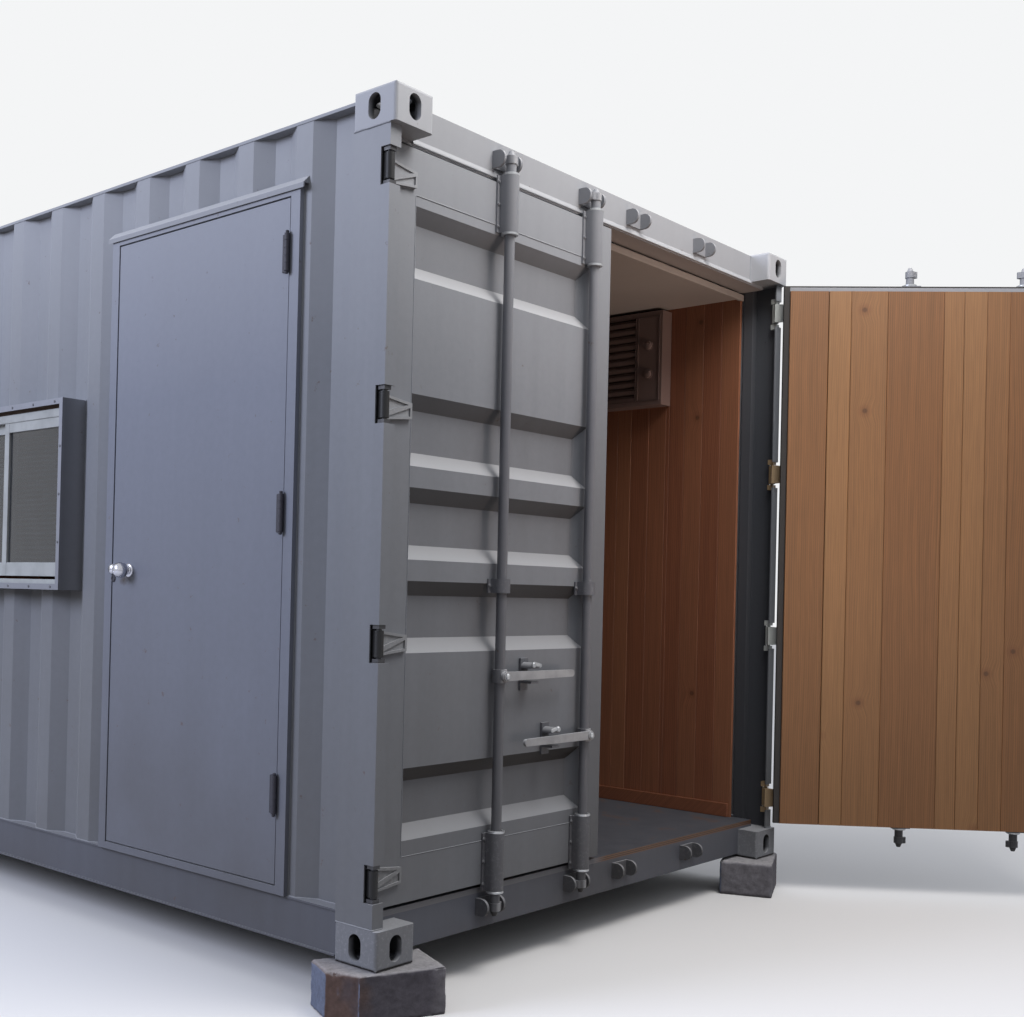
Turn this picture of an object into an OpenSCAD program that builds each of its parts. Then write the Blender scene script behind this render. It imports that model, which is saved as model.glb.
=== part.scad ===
// Shipping container cabin: a 20 ft steel freight container turned into a
// small office, with a steel entry door, a boxed slider window, timber lined
// walls and its two cargo doors. Millimetres, +Z up. The origin is on the
// ground under the outer corner of the left corner casting at the door end,
// +X runs to the right along the door end, +Y runs in along the long walls.

/* [Container] */
// Overall width over the corner castings
cont_w = 2438; // [1800:1:3000]
// Overall length over the corner castings
cont_l = 6058; // [2991:1:12192]
// Overall height over the corner castings
cont_h = 2591; // [2200:1:2896]
// Height of the blocks under the four corners
block_h = 140; // [40:1:400]

/* [Corner castings] */
// Casting size along the door end
cast_x = 162; // [150:1:200]
// Casting size along the long wall
cast_y = 178; // [150:1:220]
// Casting height
cast_z = 118; // [100:1:160]
// Wall of a casting behind its side and end faces
cast_wall = 24; // [10:1:40]
// Top or bottom plate of a casting
cast_plate = 28; // [10:1:40]
// Width of the upright holes in side and end faces
hole_w = 51; // [20:0.5:80]
// Height of the upright holes in side and end faces
hole_h = 79; // [40:0.5:90]
// Length of the hole in the top or bottom face
slot_l = 124; // [60:0.5:130]
// Width of the hole in the top or bottom face
slot_w = 63.5; // [30:0.5:80]
// Radius of a casting's outer edges
cast_r = 12; // [3:0.5:20]

/* [Door end frame] */
// Plate thickness of the rolled posts
post_t = 6; // [3:0.5:12]
// Distance from the casting face back to the post's front flange
post_set = 22; // [10:1:40]
// Width of the post's front flange, seen from the door end
post_w = 48; // [40:1:120]
// Depth of the post along the long wall
post_d = 178; // [100:1:250]
// Distance from the casting face back to the post's inner channel
post_pocket = 136; // [136:1:160]
// Inset of the post's side plate from the casting's side face
side_set = 3; // [0:0.5:10]
// Distance from the casting face back to the header and sill
rail_set = 90; // [40:1:120]
// Depth of the header and sill
rail_d = 100; // [60:1:200]
// Plate thickness of header and sill
rail_t = 5; // [3:0.5:12]
// Underside of the sill above the casting's underside
sill_low = 14; // [5:1:30]
// Top of the sill
sill_top = 128; // [119:1:200]
// Underside of the header, down from the casting's top
header_drop = 131; // [119:1:200]
// Top of the header, down from the casting's top
header_top_drop = 6; // [0:1:20]
// How far the drip bar at the header's foot stands out
drip_out = 8; // [4:1:9]
// Rise of the drip bar's sloping top
drip_rise = 16; // [8:1:30]

/* [Side and far end frame] */
// Height of the bottom side rail
rail_h = 140; // [100:1:200]
// Thickness of the bottom side rail
rail_web = 6; // [3:0.5:10]
// Width of the bottom rail's top flange
rail_top_w = 48; // [30:1:80]
// Width of the bottom rail's lower flange
rail_low_w = 30; // [20:1:80]
// How far the bottom rail's flanges stand out past its web
rail_lip = 5; // [0:1:7]
// Side of the square top rail tube
top_tube = 60; // [40:1:80]
// Wall of the square top rail tube
tube_wall = 3; // [2:0.5:8]
// Thickness of the cap strip over the top rail
cap_strip = 10; // [4:1:20]
// Drop from the casting's top to the cap strip
top_drop = 25; // [6:1:40]
// Floor cross member height
cross_h = 98; // [60:1:120]
// Floor cross member flange width
cross_w = 45; // [30:1:80]
// Floor cross member thickness
cross_t = 4; // [3:0.5:8]
// Number of floor cross members
cross_n = 19; // [5:1:30]
// Floor board thickness
floor_t = 28; // [20:1:40]

/* [Corrugated walls] */
// Sheet thickness
sheet_t = 3; // [1.5:0.5:5]
// Inset of the outer flats from the casting's side face
wall_set = 10; // [4:1:20]
// Width of an outer flat
flat_out = 76; // [30:1:150]
// Width of an inner flat
flat_in = 76; // [30:1:150]
// Run of a slope between the flats
slope_run = 68; // [20:1:100]
// Depth of the long walls' corrugation
wall_depth = 36; // [20:1:50]
// Start of the first inner flat past the door end
corr_start = 223; // [190:1:500]
// Flat width of the far wall's corrugation
end_flat = 110; // [50:1:150]
// Slope run of the far wall's corrugation
end_run = 18; // [5:1:40]
// Depth of the far wall's corrugation
end_depth = 45.6; // [20:0.1:50]
// Flat width of the roof's corrugation
roof_flat = 91; // [50:1:150]
// Slope run of the roof's corrugation
roof_run = 13.5; // [5:0.5:40]
// Depth of the roof's corrugation
roof_depth = 20; // [10:1:25]

/* [Lining] */
// Thickness of the timber lining
lining_t = 12; // [8:1:25]
// Distance from the side plane to the lining's hidden face
lining_set = 60; // [50:1:120]
// Underside of the ceiling, down from the casting's top
ceil_drop = 161; // [150:1:400]
// Gap that keeps two lining panels apart
panel_gap = 4; // [1:1:10]

/* [Entry door] */
// Outer edge of the frame nearest to the door end
entry_y = 400; // [300:1:2500]
// Leaf width
entry_leaf_w = 930; // [700:1:1000]
// Top of the entry frame, down from the casting's top
entry_head = 228; // [200:1:500]
// Leaf thickness
entry_leaf_t = 45; // [30:1:60]
// Gap around the leaf
entry_gap = 5; // [5:1:10]
// Face width of the frame's jambs
entry_face = 43; // [30:1:80]
// Face height of the frame's head
entry_head_face = 30; // [20:1:80]
// Height of the frame's threshold
entry_sill = 24; // [15:1:40]
// How far the frame stands out from the casting's side plane
entry_out = 8; // [0:1:20]
// Depth of the frame across the wall
entry_deep = 80; // [60:1:150]
// Diameter of the hinge knuckles
entry_knuckle = 18; // [10:1:30]
// Height of a hinge
entry_hinge_h = 120; // [60:1:160]
// Height of the lowest hinge's middle above the leaf's foot
entry_hinge_foot = 280; // [120:1:400]
// Distance of the highest hinge's middle from the leaf's top
entry_hinge_head = 173; // [100:1:400]
// Height of the knob above the leaf's foot
knob_up = 975; // [800:1:1200]
// Backset of the knob from the leaf's free edge
knob_back = 100; // [50:1:160]
// Diameter of the knob
knob_d = 54; // [40:1:70]
// How far the knob stands out from the leaf
knob_out = 62; // [40:1:90]
// How far the drip cap stands out
cap_out = 6; // [5:1:80]
// Height of the drip cap's front
cap_h = 16; // [8:1:40]
// Rise of the drip cap's top towards the wall
cap_rise = 25; // [5:1:40]
// Sheet thickness of the drip cap
cap_t = 3; // [2:0.5:5]
// How far the drip cap runs past the frame on each side
cap_side = 20; // [0:1:60]

/* [Window] */
// Edge of the window box nearest to the door end
win_y = 1655; // [1500:1:3000]
// Width of the window box
win_w = 885; // [500:1:1500]
// Height of the window box
win_h = 720; // [400:1:1200]
// Underside of the window box above the casting's underside
win_low = 1081; // [600:1:1500]
// How far the window box stands out from the side plane
win_out = 60; // [20:1:120]
// Depth of the window box
win_deep = 132; // [80:1:200]
// Plate thickness of the window box
win_plate = 5; // [3:0.5:10]
// Front lip width of the window box
win_lip = 22; // [5:1:60]
// Face width of the sash frame's uprights
sash_w = 36; // [20:1:60]
// Face height of the sash frame's head and foot members
sash_rail = 98; // [20:1:130]
// Sash frame set back behind the box's front
sash_set = 14; // [5:1:60]
// Sash frame depth
sash_d = 44; // [20:1:60]
// Glass thickness
glass_t = 5; // [3:0.5:8]

/* [Air conditioner] */
// Edge of the unit nearest to the door end
ac_y = 535; // [300:1:3000]
// Width of the unit
ac_w = 640; // [400:1:900]
// Height of the unit
ac_h = 430; // [300:1:600]
// Top of the unit, down from the casting's top
ac_head = 176; // [170:1:900]
// How far the front stands out from the lining
ac_out = 76; // [20:1:300]
// Thickness of the unit's shell
ac_shell = 6; // [3:1:12]
// Number of front slats
ac_slats = 11; // [4:1:20]

/* [Cargo doors] */
// Distance from the casting face back to the leaf's outer face
leaf_set = 76; // [60:1:90]
// Leaf frame depth
leaf_d = 50; // [30:1:60]
// Stile width
stile_w = 122; // [60:1:140]
// Top and bottom rail height
leaf_rail = 140; // [80:1:180]
// Tube wall of the leaf frame
leaf_wall = 4; // [2:0.5:8]
// Distance from the side plane to the leaf's steel
leaf_x = 50; // [40:1:90]
// Gap from the leaf's steel to the header
leaf_gap_top = 11; // [10:1:20]
// Gap from the leaf's steel to the sill
leaf_gap_low = 32; // [28:1:50]
// Gap between the two leaves' steel
leaf_meet = 22; // [18:1:30]
// Height of a pressed recess at the face
press_h = 220; // [100:1:220]
// Height that each sloped side of a recess takes
press_slope = 45; // [10:1:80]
// Depth of a recess
press_depth = 36; // [15:1:44]
// Taper length at the two ends of a recess
press_taper = 42; // [10:1:80]
// Lowest recess's centre above the bottom rail of the leaf
press_foot = 158; // [130:1:300]
// Highest recess's centre below the top rail of the leaf
press_head = 142; // [130:1:300]
// Inset of the sheet's face from the frame's face
press_set = 1; // [0:1:10]
// How far the gasket stands out of the leaf's edge
gasket_out = 6; // [3:0.5:6]
// How far the gasket stands out of the leaf's foot
gasket_low = 9; // [3:0.5:9]
// Depth of the gasket
gasket_d = 22; // [10:1:30]
// Thickness of the gasket's seat on the frame
gasket_seat = 4; // [2:1:8]
// Opening angle of the right leaf as it stands
right_open = 127; // [0:1:260]

/* [Cargo door hinges] */
// Pin distance from the side plane
pin_x = 22; // [15:1:40]
// Pin distance from the casting face
pin_y = 40; // [25:1:60]
// Pin diameter
pin_d = 16; // [10:1:25]
// Radial clearance of the pin
pin_clear = 1; // [0.5:0.1:2]
// Knuckle radius
knuckle_r = 14; // [11:0.5:16]
// Knuckle height
knuckle_h = 78; // [40:1:120]
// Hinge blade thickness
blade_t = 12; // [8:1:16]
// Reach of the blade from the pin
blade_l = 143; // [100:1:200]
// Height of the blade's end on the leaf
blade_end = 48; // [30:1:80]
// Height of the blade's rim around its pocket
blade_rim = 8; // [4:1:12]
// Depth of the blade's pocket
blade_pocket = 5; // [2:0.5:8]
// Height of the lowest hinge above the casting's underside
hinge_first = 250; // [200:1:500]
// Height of the highest hinge, down from the casting's top
hinge_last = 241; // [200:1:500]
// Number of hinges on a leaf
hinge_n = 4; // [2:1:4]
// Thickness of the lug plates on the post
lug_t = 12; // [8:1:20]
// How far a lug runs up behind the post's plates
lug_seat = 10; // [4:1:30]
// Free height between a knuckle and its lugs
lug_gap = 5; // [5:1:10]
// Depth of the cut in the post's side plate at a hinge
notch_side = 38; // [20:1:60]
// Depth of the cut in the post's front at a hinge
notch_front = 62; // [40:1:80]

/* [Locking gear] */
// Diameter of the lock bars
bar_d = 34; // [25:1:50]
// Distance from the leaf's face to the bar's axis
bar_off = 28; // [24:1:40]
// Inner bar's distance from the middle of the door end
bar_edge = 151; // [120:1:300]
// Distance between the two bars of a leaf
bar_pitch = 478; // [300:1:560]
// Height of the keeper's middle on the sill
keeper_low = 85; // [50:1:110]
// Height of the keeper's middle on the header, down from the top
keeper_drop = 68; // [40:1:110]
// Keeper height
keeper_h = 56; // [30:1:80]
// Inner half width of the keeper
keeper_half = 37; // [36:1:70]
// Ear thickness of the keeper
keeper_ear = 10; // [6:1:20]
// Keeper base thickness
keeper_base = 8; // [4:1:12]
// Reach of the keeper's ears from the header's face
keeper_reach = 52; // [40:1:80]
// Reach of the cam's nose from the bar's axis
cam_reach = 30; // [25:1:31]
// Height of the cam
cam_h = 26; // [10:1:40]
// Collar radius of the cam
cam_r = 20; // [18:1:26]
// Radial clearance of the bar in its guides
guide_clear = 3; // [1:0.5:5]
// Wall of a guide around the bar
guide_wall = 8; // [5:1:8]
// Height of the large guides near the leaf's ends
guide_big = 187; // [60:1:200]
// Height of the small guide at mid height
guide_small = 46; // [20:1:80]
// How far a guide's foot plate reaches past the guide on each side
guide_foot = 12; // [10:1:30]
// Height of the handle on the outer bar
handle_one = 836; // [600:1:1400]
// Height of the handle on the inner bar
handle_two = 612; // [500:1:1400]
// Distance of the outer handle's catch from its bar
catch_one = 155; // [80:1:330]
// Distance of the inner handle's catch from its bar
catch_two = 198; // [80:1:330]
// Handle length from the bar's axis
handle_l = 372; // [200:1:450]
// Height of the handle's flat bar
handle_h = 30; // [20:1:50]
// Thickness of the handle's flat bar
handle_t = 10; // [6:1:16]

/* [Support blocks] */
// Block length
block_l = 354; // [250:1:500]
// Block width
block_w = 215; // [180:1:400]
// Turn of the blocks under the corners
block_turn = 23; // [0:1:30]
// Length of the corner broken off a block, along its front
block_break = 76; // [20:1:100]
// Depth of the corner broken off a block
block_bite = 83; // [20:1:120]
// How far a block's broken front corner stands out past the casting
block_side = 48; // [20:1:80]

/* [Hidden] */
$fn = 48;
// top of the castings and of the cap strip above the castings' underside
top_z = cont_h;
strip_top = cont_h - top_drop;
sheet_top = strip_top - cap_strip;
rail_top = sill_low + rail_h;
header_low = cont_h - header_drop;
header_top = cont_h - header_top_drop;
floor_top = sill_low + rail_web + cross_h + floor_t;
pitch = flat_out + flat_in + 2 * slope_run;
side_len = cont_l - 2 * post_d;
wall_in = wall_set + wall_depth + sheet_t;
web_in = side_set + rail_lip + rail_web;
far_wall_set = 10;
far_lining_set = 66;
roof_set = 60;
floor_l = cont_l - rail_set - rail_d - side_set - top_tube;
far_lining_y = cont_l - far_lining_set - lining_t;
// small clearances and places
stop_gap = 6;
stop_w = 12;
cap_drop = cap_h;
ceil_low = cont_h - ceil_drop;
ac_low = cont_h - ac_head - ac_h;
lining_h = ceil_low - floor_top;
entry_plate_t = 5;
entry_plate_w = 28;
entry_hinge_up = 15;
ac_rim = 22;
ac_front = 10;
gasket_w = 17;
lining_low = 8;
lining_head = 18;
bar_tip = 16;
floor_gap = 5;
knuckle_web = 16;
guide_end = -22;
guide_mid = 1107;
guide_foot_t = 6;
catch_gap = 6;
drip_foot = 3;
catch_t = 8;
catch_w = 40;
catch_h = 108;
bar_end = 30;
cam_nose = 20;
hub_h = 44;
hub_r = 24;
eye_r = 18;
boss_r = 15;
rivet_out = 4;
grip_h = 24;
lever_in = 25;
hinge_pitch = (cont_h - hinge_first - hinge_last) / (hinge_n - 1);
bar_two = cont_w / 2 - bar_edge;
bar_one = bar_two - bar_pitch;
// set back of a block's front corner from the casting's end face
block_fore = 14;
// groove of the unit's outside grille
groove_h = 9;
groove_in = 3;
// entry door places
entry_w = entry_leaf_w + 2 * entry_gap + 2 * entry_face;
entry_bottom = rail_top;
leaf_low = entry_bottom + entry_sill + entry_gap;
entry_top = cont_h - entry_head;
entry_leaf_h = entry_top - entry_head_face - entry_gap - leaf_low;
entry_hinge_last = entry_leaf_h - entry_hinge_head;
entry_hinge_mid = (entry_hinge_foot + entry_hinge_last) / 2 + entry_hinge_up;
leaf_y = entry_y + entry_face + entry_gap;
leaf_face = -entry_out + 2;
entry_pin_x = -entry_out - entry_knuckle / 2 - 1;
entry_pin_y = leaf_y - entry_gap / 2;
// cargo leaf places for the left leaf
leaf_w = cont_w / 2 - leaf_meet / 2 - leaf_x;
leaf_low_z = sill_top + leaf_gap_low;
leaf_top_z = header_low - leaf_gap_top;
leaf_h = leaf_top_z - leaf_low_z;
bar_y = leaf_set - bar_off;
notch_h = knuckle_h + 2 * lug_gap + 2 * lug_t;
lug_x = pin_x + knuckle_r - side_set - post_t;
lug_y = pin_y + knuckle_r - post_set - post_t;
// places of the recesses, counted in pitches from the lowest
press_steps = [0, 2, 3, 4, 6];
press_last = 6;
press_first = leaf_low_z + leaf_rail + press_foot;
press_pitch = (leaf_top_z - leaf_rail - press_head - press_first) / press_last;
// window panes
sash_open_w = (win_w - 2 * win_plate - 3 * sash_w) / 2;
sash_open_h = win_h - 2 * win_plate - 2 * sash_rail;
// Which piece to draw

steel = [0.50, 0.54, 0.60];
steel_dark = [0.40, 0.43, 0.47];
timber = [0.55, 0.34, 0.20];
rubber = [0.08, 0.08, 0.09];

// lifts the container on to its blocks
module lift() {
  translate([0, 0, block_h]) children();
}

module both_sides() {
  children();
  translate([cont_w, 0, 0]) mirror([1, 0, 0]) children();
}

module both_ends() {
  children();
  translate([0, cont_l, 0]) mirror([0, 1, 0]) children();
}

// upright stadium, long way along the second axis
module stadium(w, h) {
  square([w, h - w], center = true);
  translate([0, (h - w) / 2]) circle(d = w);
  translate([0, -(h - w) / 2]) circle(d = w);
}

// square or rectangular tube along X from the origin
module tube_x(length, depth, height, wall) {
  difference() {
    cube([length, depth, height]);
    translate([-1, wall, wall]) cube([length + 2, depth - 2 * wall, height - 2 * wall]);
  }
}

module tube_y(width, length, height, wall) {
  difference() {
    cube([width, length, height]);
    translate([wall, -1, wall]) cube([width - 2 * wall, length + 2, height - 2 * wall]);
  }
}

// corrugation offset at distance s past the start of an inner flat
function wave(s, fi, run, fo, depth) =
  let (p = fi + fo + 2 * run)
  let (u = s - p * floor(s / p))
  u <= fi ? depth
  : u <= fi + run ? depth * (1 - (u - fi) / run)
  : u <= fi + run + fo ? 0
  : depth * (u - fi - run - fo) / run;

// the places where the corrugation bends between a and b
function bends(a, b, s0, fi, run, fo) =
  let (p = fi + fo + 2 * run)
  let (n0 = floor((a - s0) / p) - 1)
  let (n1 = ceil((b - s0) / p) + 1)
  [for (n = [n0 : n1], k = [0, fi, fi + run, fi + run + fo])
    let (v = s0 + n * p + k) if (v > a + 0.5 && v < b - 0.5) v];

// corrugated strip in plan: along the first axis from a to b
module corrugated(a, b, s0, fi, run, fo, depth, t) {
  at = concat([a], bends(a, b, s0, fi, run, fo), [b]);
  outer = [for (v = at) [v, wave(v - s0, fi, run, fo, depth)]];
  n = len(outer);
  inner = [for (i = [n - 1 : -1 : 0]) [outer[i][0], outer[i][1] + t]];
  polygon(concat(outer, inner));
}

// one length of long wall, outer flats towards -X, Y from a to b
module side_sheet(a, b, z0, z1) {
  translate([wall_set, 0, z0])
    linear_extrude(z1 - z0)
      mirror([1, 0, 0])
        rotate([0, 0, 90])
          corrugated(a, b, corr_start, flat_in, slope_run, flat_out,
            wall_depth, sheet_t);
}

// rectangle with all four corners round
module round_plan(a, b, r) {
  translate([r, 0]) square([a - 2 * r, b]);
  translate([0, r]) square([a, b - 2 * r]);
  for (x = [r, a - r], y = [r, b - r]) translate([x, y]) circle(r);
}

// rectangle with its two lower corners round
module foot_plan(a, b, r) {
  translate([r, 0]) square([a - 2 * r, b]);
  translate([0, r]) square([a, b - r]);
  for (x = [r, a - r]) translate([x, r]) circle(r);
}

// lower corner casting, its outer corner at the origin
module casting() {
  difference() {
    intersection() {
      linear_extrude(cast_z) round_plan(cast_x, cast_y, cast_r);
      translate([0, cast_y, 0]) rotate([90, 0, 0]) linear_extrude(cast_y)
        foot_plan(cast_x, cast_z, cast_r);
      rotate([90, 0, 90]) linear_extrude(cast_x) foot_plan(cast_y, cast_z, cast_r);
    }
    translate([cast_wall, cast_wall, cast_plate])
      cube([cast_x - 2 * cast_wall, cast_y - 2 * cast_wall, cast_z - 2 * cast_plate]);
    translate([-1, cast_y / 2, cast_z / 2])
      rotate([90, 0, 90])
        linear_extrude(cast_wall + 2) stadium(hole_w, hole_h);
    translate([cast_x / 2, cast_wall + 1, cast_z / 2])
      rotate([90, 0, 0])
        linear_extrude(cast_wall + 2) stadium(hole_w, hole_h);
    translate([cast_x / 2, cast_y / 2, -1])
      linear_extrude(cast_plate + 2) stadium(slot_w, slot_l);
  }
}

module corner_castings() {
  color(steel) lift() both_ends() both_sides() {
    casting();
    translate([0, 0, cont_h]) mirror([0, 0, 1]) casting();
  }
}

// rolled post in plan: a front flange and side plate that make a pocket for
// the leaf's edge, and a channel behind it
module post_plan() {
  translate([side_set, post_set]) square([post_w - side_set, post_t]);
  translate([side_set, post_set]) square([post_t, post_d - post_set]);
  translate([side_set, post_pocket]) square([post_w - side_set, post_t]);
  translate([post_w - post_t, post_pocket]) square([post_t, post_d - post_pocket]);
  translate([side_set, post_d - post_t]) square([post_w - side_set, post_t]);
}

module hinge_levels() {
  for (i = [0 : hinge_n - 1]) translate([0, 0, hinge_first + i * hinge_pitch]) children();
}

module rear_posts() {
  color(steel) lift() both_sides() difference() {
    translate([0, 0, cast_z]) linear_extrude(cont_h - 2 * cast_z) post_plan();
    hinge_levels() {
      translate([-1, post_set - 1, -notch_h / 2])
        cube([post_w / 2, notch_side + 1, notch_h]);
      translate([side_set + post_t, post_set - 1, -notch_h / 2])
        cube([post_w, notch_front + 1, notch_h]);
    }
  }
}

module hinge_lugs() {
  color(steel_dark) lift() both_sides() hinge_levels() {
    for (s = [0, 1]) mirror([0, 0, s])
      translate([side_set + post_t, post_set + post_t, notch_h / 2 - lug_t])
        cube([lug_x, lug_y, lug_t + lug_seat]);
    translate([pin_x, pin_y, -notch_h / 2]) cylinder(h = notch_h, d = pin_d);
  }
}

module door_header() {
  color(steel) lift() {
    translate([cast_x, rail_set, header_low])
      tube_x(cont_w - 2 * cast_x, rail_d, header_top - header_low, rail_t);
    both_sides() translate([post_w, rail_set, header_low])
      cube([cast_x - post_w, rail_d, cont_h - cast_z - header_low]);
    translate([cast_x, rail_set, header_low + rail_t]) rotate([90, 0, 90])
      linear_extrude(cont_w - 2 * cast_x)
        polygon([[0.5, 0], [-drip_out, 0], [-drip_out, drip_foot],
          [0, drip_foot + drip_rise], [0.5, drip_foot + drip_rise]]);
  }
}

module door_sill() {
  color(steel) lift() {
    translate([cast_x, rail_set, sill_low])
      tube_x(cont_w - 2 * cast_x, rail_d, sill_top - sill_low, rail_t);
    both_sides() translate([post_w, rail_set, cast_z])
      cube([cast_x - post_w, rail_d, sill_top - cast_z]);
  }
}

// forged keeper: a base on the rail and two ears with round noses
module keeper() {
  translate([-keeper_half - keeper_ear, rail_set - keeper_base, -keeper_h / 2])
    cube([2 * keeper_half + 2 * keeper_ear, keeper_base, keeper_h]);
  nose = keeper_reach - keeper_base - keeper_h / 2;
  for (s = [0, 1]) mirror([s, 0, 0])
    translate([keeper_half, rail_set - keeper_base, 0]) rotate([90, 0, 90])
      linear_extrude(keeper_ear) translate([-nose, 0]) {
        translate([0, -keeper_h / 2]) square([nose, keeper_h]);
        intersection() {
          circle(d = keeper_h);
          translate([-keeper_h, -keeper_h / 2]) square([keeper_h, keeper_h]);
        }
      }
}

module cam_keepers() {
  color(steel_dark) lift() both_sides() for (x = [bar_one, bar_two]) {
    translate([x, 0, keeper_low]) keeper();
    translate([x, 0, cont_h - keeper_drop]) keeper();
  }
}

module far_posts() {
  color(steel) lift() both_sides()
    translate([side_set, cont_l - side_set, cast_z]) mirror([0, 1, 0])
      linear_extrude(cont_h - 2 * cast_z) difference() {
        square([cast_x - side_set, cast_y - side_set]);
        translate([post_t, post_t]) square([cast_x, cast_y]);
      }
}

module far_rails() {
  color(steel) lift() {
    translate([cast_x, cont_l - side_set - top_tube, cont_h - cast_z])
      tube_x(cont_w - 2 * cast_x, top_tube, strip_top - cont_h + cast_z, tube_wall);
    translate([cast_x, cont_l - side_set - top_tube, sill_low])
      tube_x(cont_w - 2 * cast_x, top_tube, rail_h, tube_wall);
  }
}

module top_side_rails() {
  color(steel) lift() both_sides() {
    translate([wall_in, cast_y, sheet_top - top_tube])
      tube_y(top_tube, cont_l - 2 * cast_y, top_tube, tube_wall);
    translate([wall_set - 2, cast_y, sheet_top])
      cube([wall_in + top_tube - wall_set + 2, cont_l - 2 * cast_y, cap_strip]);
  }
}

module bottom_side_rails() {
  color(steel) lift() both_sides() translate([side_set, cast_y, sill_low]) {
    translate([rail_lip, 0, 0]) cube([rail_web, cont_l - 2 * cast_y, rail_h]);
    translate([0, 0, rail_h - rail_web])
      cube([rail_top_w, cont_l - 2 * cast_y, rail_web]);
    cube([rail_low_w, cont_l - 2 * cast_y, rail_web]);
  }
}

module cross_members() {
  start = rail_set + rail_d + 90;
  stop = cont_l - cast_y - 90 - cross_w;
  color(steel_dark) lift() for (i = [0 : cross_n - 1])
    translate([web_in, start + i * (stop - start) / (cross_n - 1), sill_low + rail_web])
      difference() {
        cube([cont_w - 2 * web_in, cross_w, cross_h]);
        translate([-1, cross_t, cross_t])
          cube([cont_w, cross_w, cross_h - 2 * cross_t]);
      }
}

module floor_boards() {
  color(timber) lift()
    union() {
      translate([web_in, rail_set + rail_d, sill_low + rail_web + cross_h])
        cube([cont_w - 2 * web_in, floor_l, floor_t]);
      translate([post_w + floor_gap, rail_set, sill_top])
        cube([cont_w - 2 * post_w - 2 * floor_gap, rail_d, floor_top - sill_top]);
    }
}

module left_wall_near() {
  color(steel) lift() side_sheet(post_d, entry_y, rail_top, sheet_top);
}

module left_wall_over_door() {
  color(steel) lift() side_sheet(entry_y, entry_y + entry_w, entry_top, sheet_top);
}

module left_wall_far() {
  color(steel) lift() difference() {
    side_sheet(entry_y + entry_w, cont_l - cast_y, rail_top, sheet_top);
    translate([-win_out, win_y, win_low])
      cube([win_out + wall_in + 1, win_w, win_h]);
  }
}

module right_wall() {
  color(steel) lift() difference() {
    translate([cont_w, 0, 0]) mirror([1, 0, 0])
      side_sheet(post_d, cont_l - cast_y, rail_top, sheet_top);
    translate([cont_w - wall_in - 1, ac_y, ac_low])
      cube([wall_in + 2, ac_w, ac_h]);
  }
}

module far_wall() {
  half = (cont_w - 2 * cast_x) / 2;
  color(steel) lift()
    translate([cont_w / 2, cont_l - far_wall_set, rail_top])
      linear_extrude(cont_h - cast_z - rail_top)
        mirror([0, 1, 0])
          corrugated(-half, half, -end_flat / 2, end_flat, end_run, end_flat,
            end_depth, sheet_t);
}

module roof() {
  span = cont_w - 2 * roof_set;
  start = rail_set + rail_d;
  color(steel) lift() {
    translate([cont_w - roof_set, 0, strip_top])
      rotate([0, -90, 0])
        linear_extrude(span)
          rotate([0, 0, 90])
            translate([0, -roof_depth - sheet_t])
              corrugated(start, cont_l - cast_y, start + 60, roof_flat, roof_run, roof_flat,
                roof_depth, sheet_t);
    for (x = [roof_set - sheet_t, cont_w - roof_set])
      translate([x, start, strip_top])
        cube([sheet_t, cont_l - cast_y - start, roof_depth + sheet_t]);
    translate([cast_x, cont_l - cast_y, strip_top])
      cube([cont_w - 2 * cast_x, cast_y - side_set, sheet_t]);
  }
}

module left_lining() {
  far_y = far_lining_y - panel_gap;
  color(timber) lift() {
    translate([lining_set, post_d + panel_gap, floor_top])
      cube([lining_t, entry_y - post_d - 2 * panel_gap, lining_h]);
    translate([lining_set, entry_y, entry_top + panel_gap])
      cube([lining_t, entry_w, ceil_low - entry_top - panel_gap]);
    difference() {
      translate([lining_set, entry_y + entry_w + panel_gap, floor_top])
        cube([lining_t, far_y - entry_y - entry_w - panel_gap, lining_h]);
      translate([lining_set - 1, win_y, win_low])
        cube([lining_t + 2, win_w, win_h]);
    }
  }
}

module right_lining() {
  color(timber) lift() difference() {
    translate([cont_w - lining_set - lining_t, post_d + panel_gap, floor_top])
      cube([lining_t, far_lining_y - post_d - 2 * panel_gap, lining_h]);
    translate([cont_w - lining_set - lining_t - 1, ac_y, ac_low])
      cube([lining_t + 2, ac_w, ac_h]);
  }
}

module far_lining() {
  color(timber) lift()
    translate([lining_set, far_lining_y, floor_top])
      cube([cont_w - 2 * lining_set, lining_t, lining_h]);
}

module ceiling() {
  color([0.8, 0.76, 0.7]) lift()
    translate([lining_set, post_d + panel_gap, ceil_low])
      cube([cont_w - 2 * lining_set, cont_l - far_lining_set - post_d - panel_gap, lining_t]);
}

// steel frame around the leaf, with a stop that the leaf closes against
module entry_frame() {
  clear_w = entry_leaf_w + 2 * entry_gap;
  clear_h = entry_leaf_h + 2 * entry_gap;
  color(steel) lift() difference() {
    translate([-entry_out, entry_y, entry_bottom])
      cube([entry_deep, entry_w, entry_top - entry_bottom]);
    translate([-entry_out - 1, leaf_y - entry_gap, leaf_low - entry_gap])
      cube([entry_leaf_t + entry_out + leaf_face + stop_gap + 1, clear_w, clear_h]);
    translate([0, leaf_y - entry_gap + stop_w, leaf_low - entry_gap - 0.01])
      cube([entry_deep, clear_w - 2 * stop_w, clear_h - stop_w]);
  }
}

// drip cap in section: X towards the wall, Y up, the front's foot at the origin
module cap_section(t) {
  reach = entry_out + cap_out + wall_set;
  slope = cap_rise / reach;
  polygon([[t, t > 0 ? -1 : 0], [reach, t > 0 ? -1 : cap_drop],
    [reach, cap_h + cap_rise - t], [t, cap_h + t * slope - t]]);
}

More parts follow.
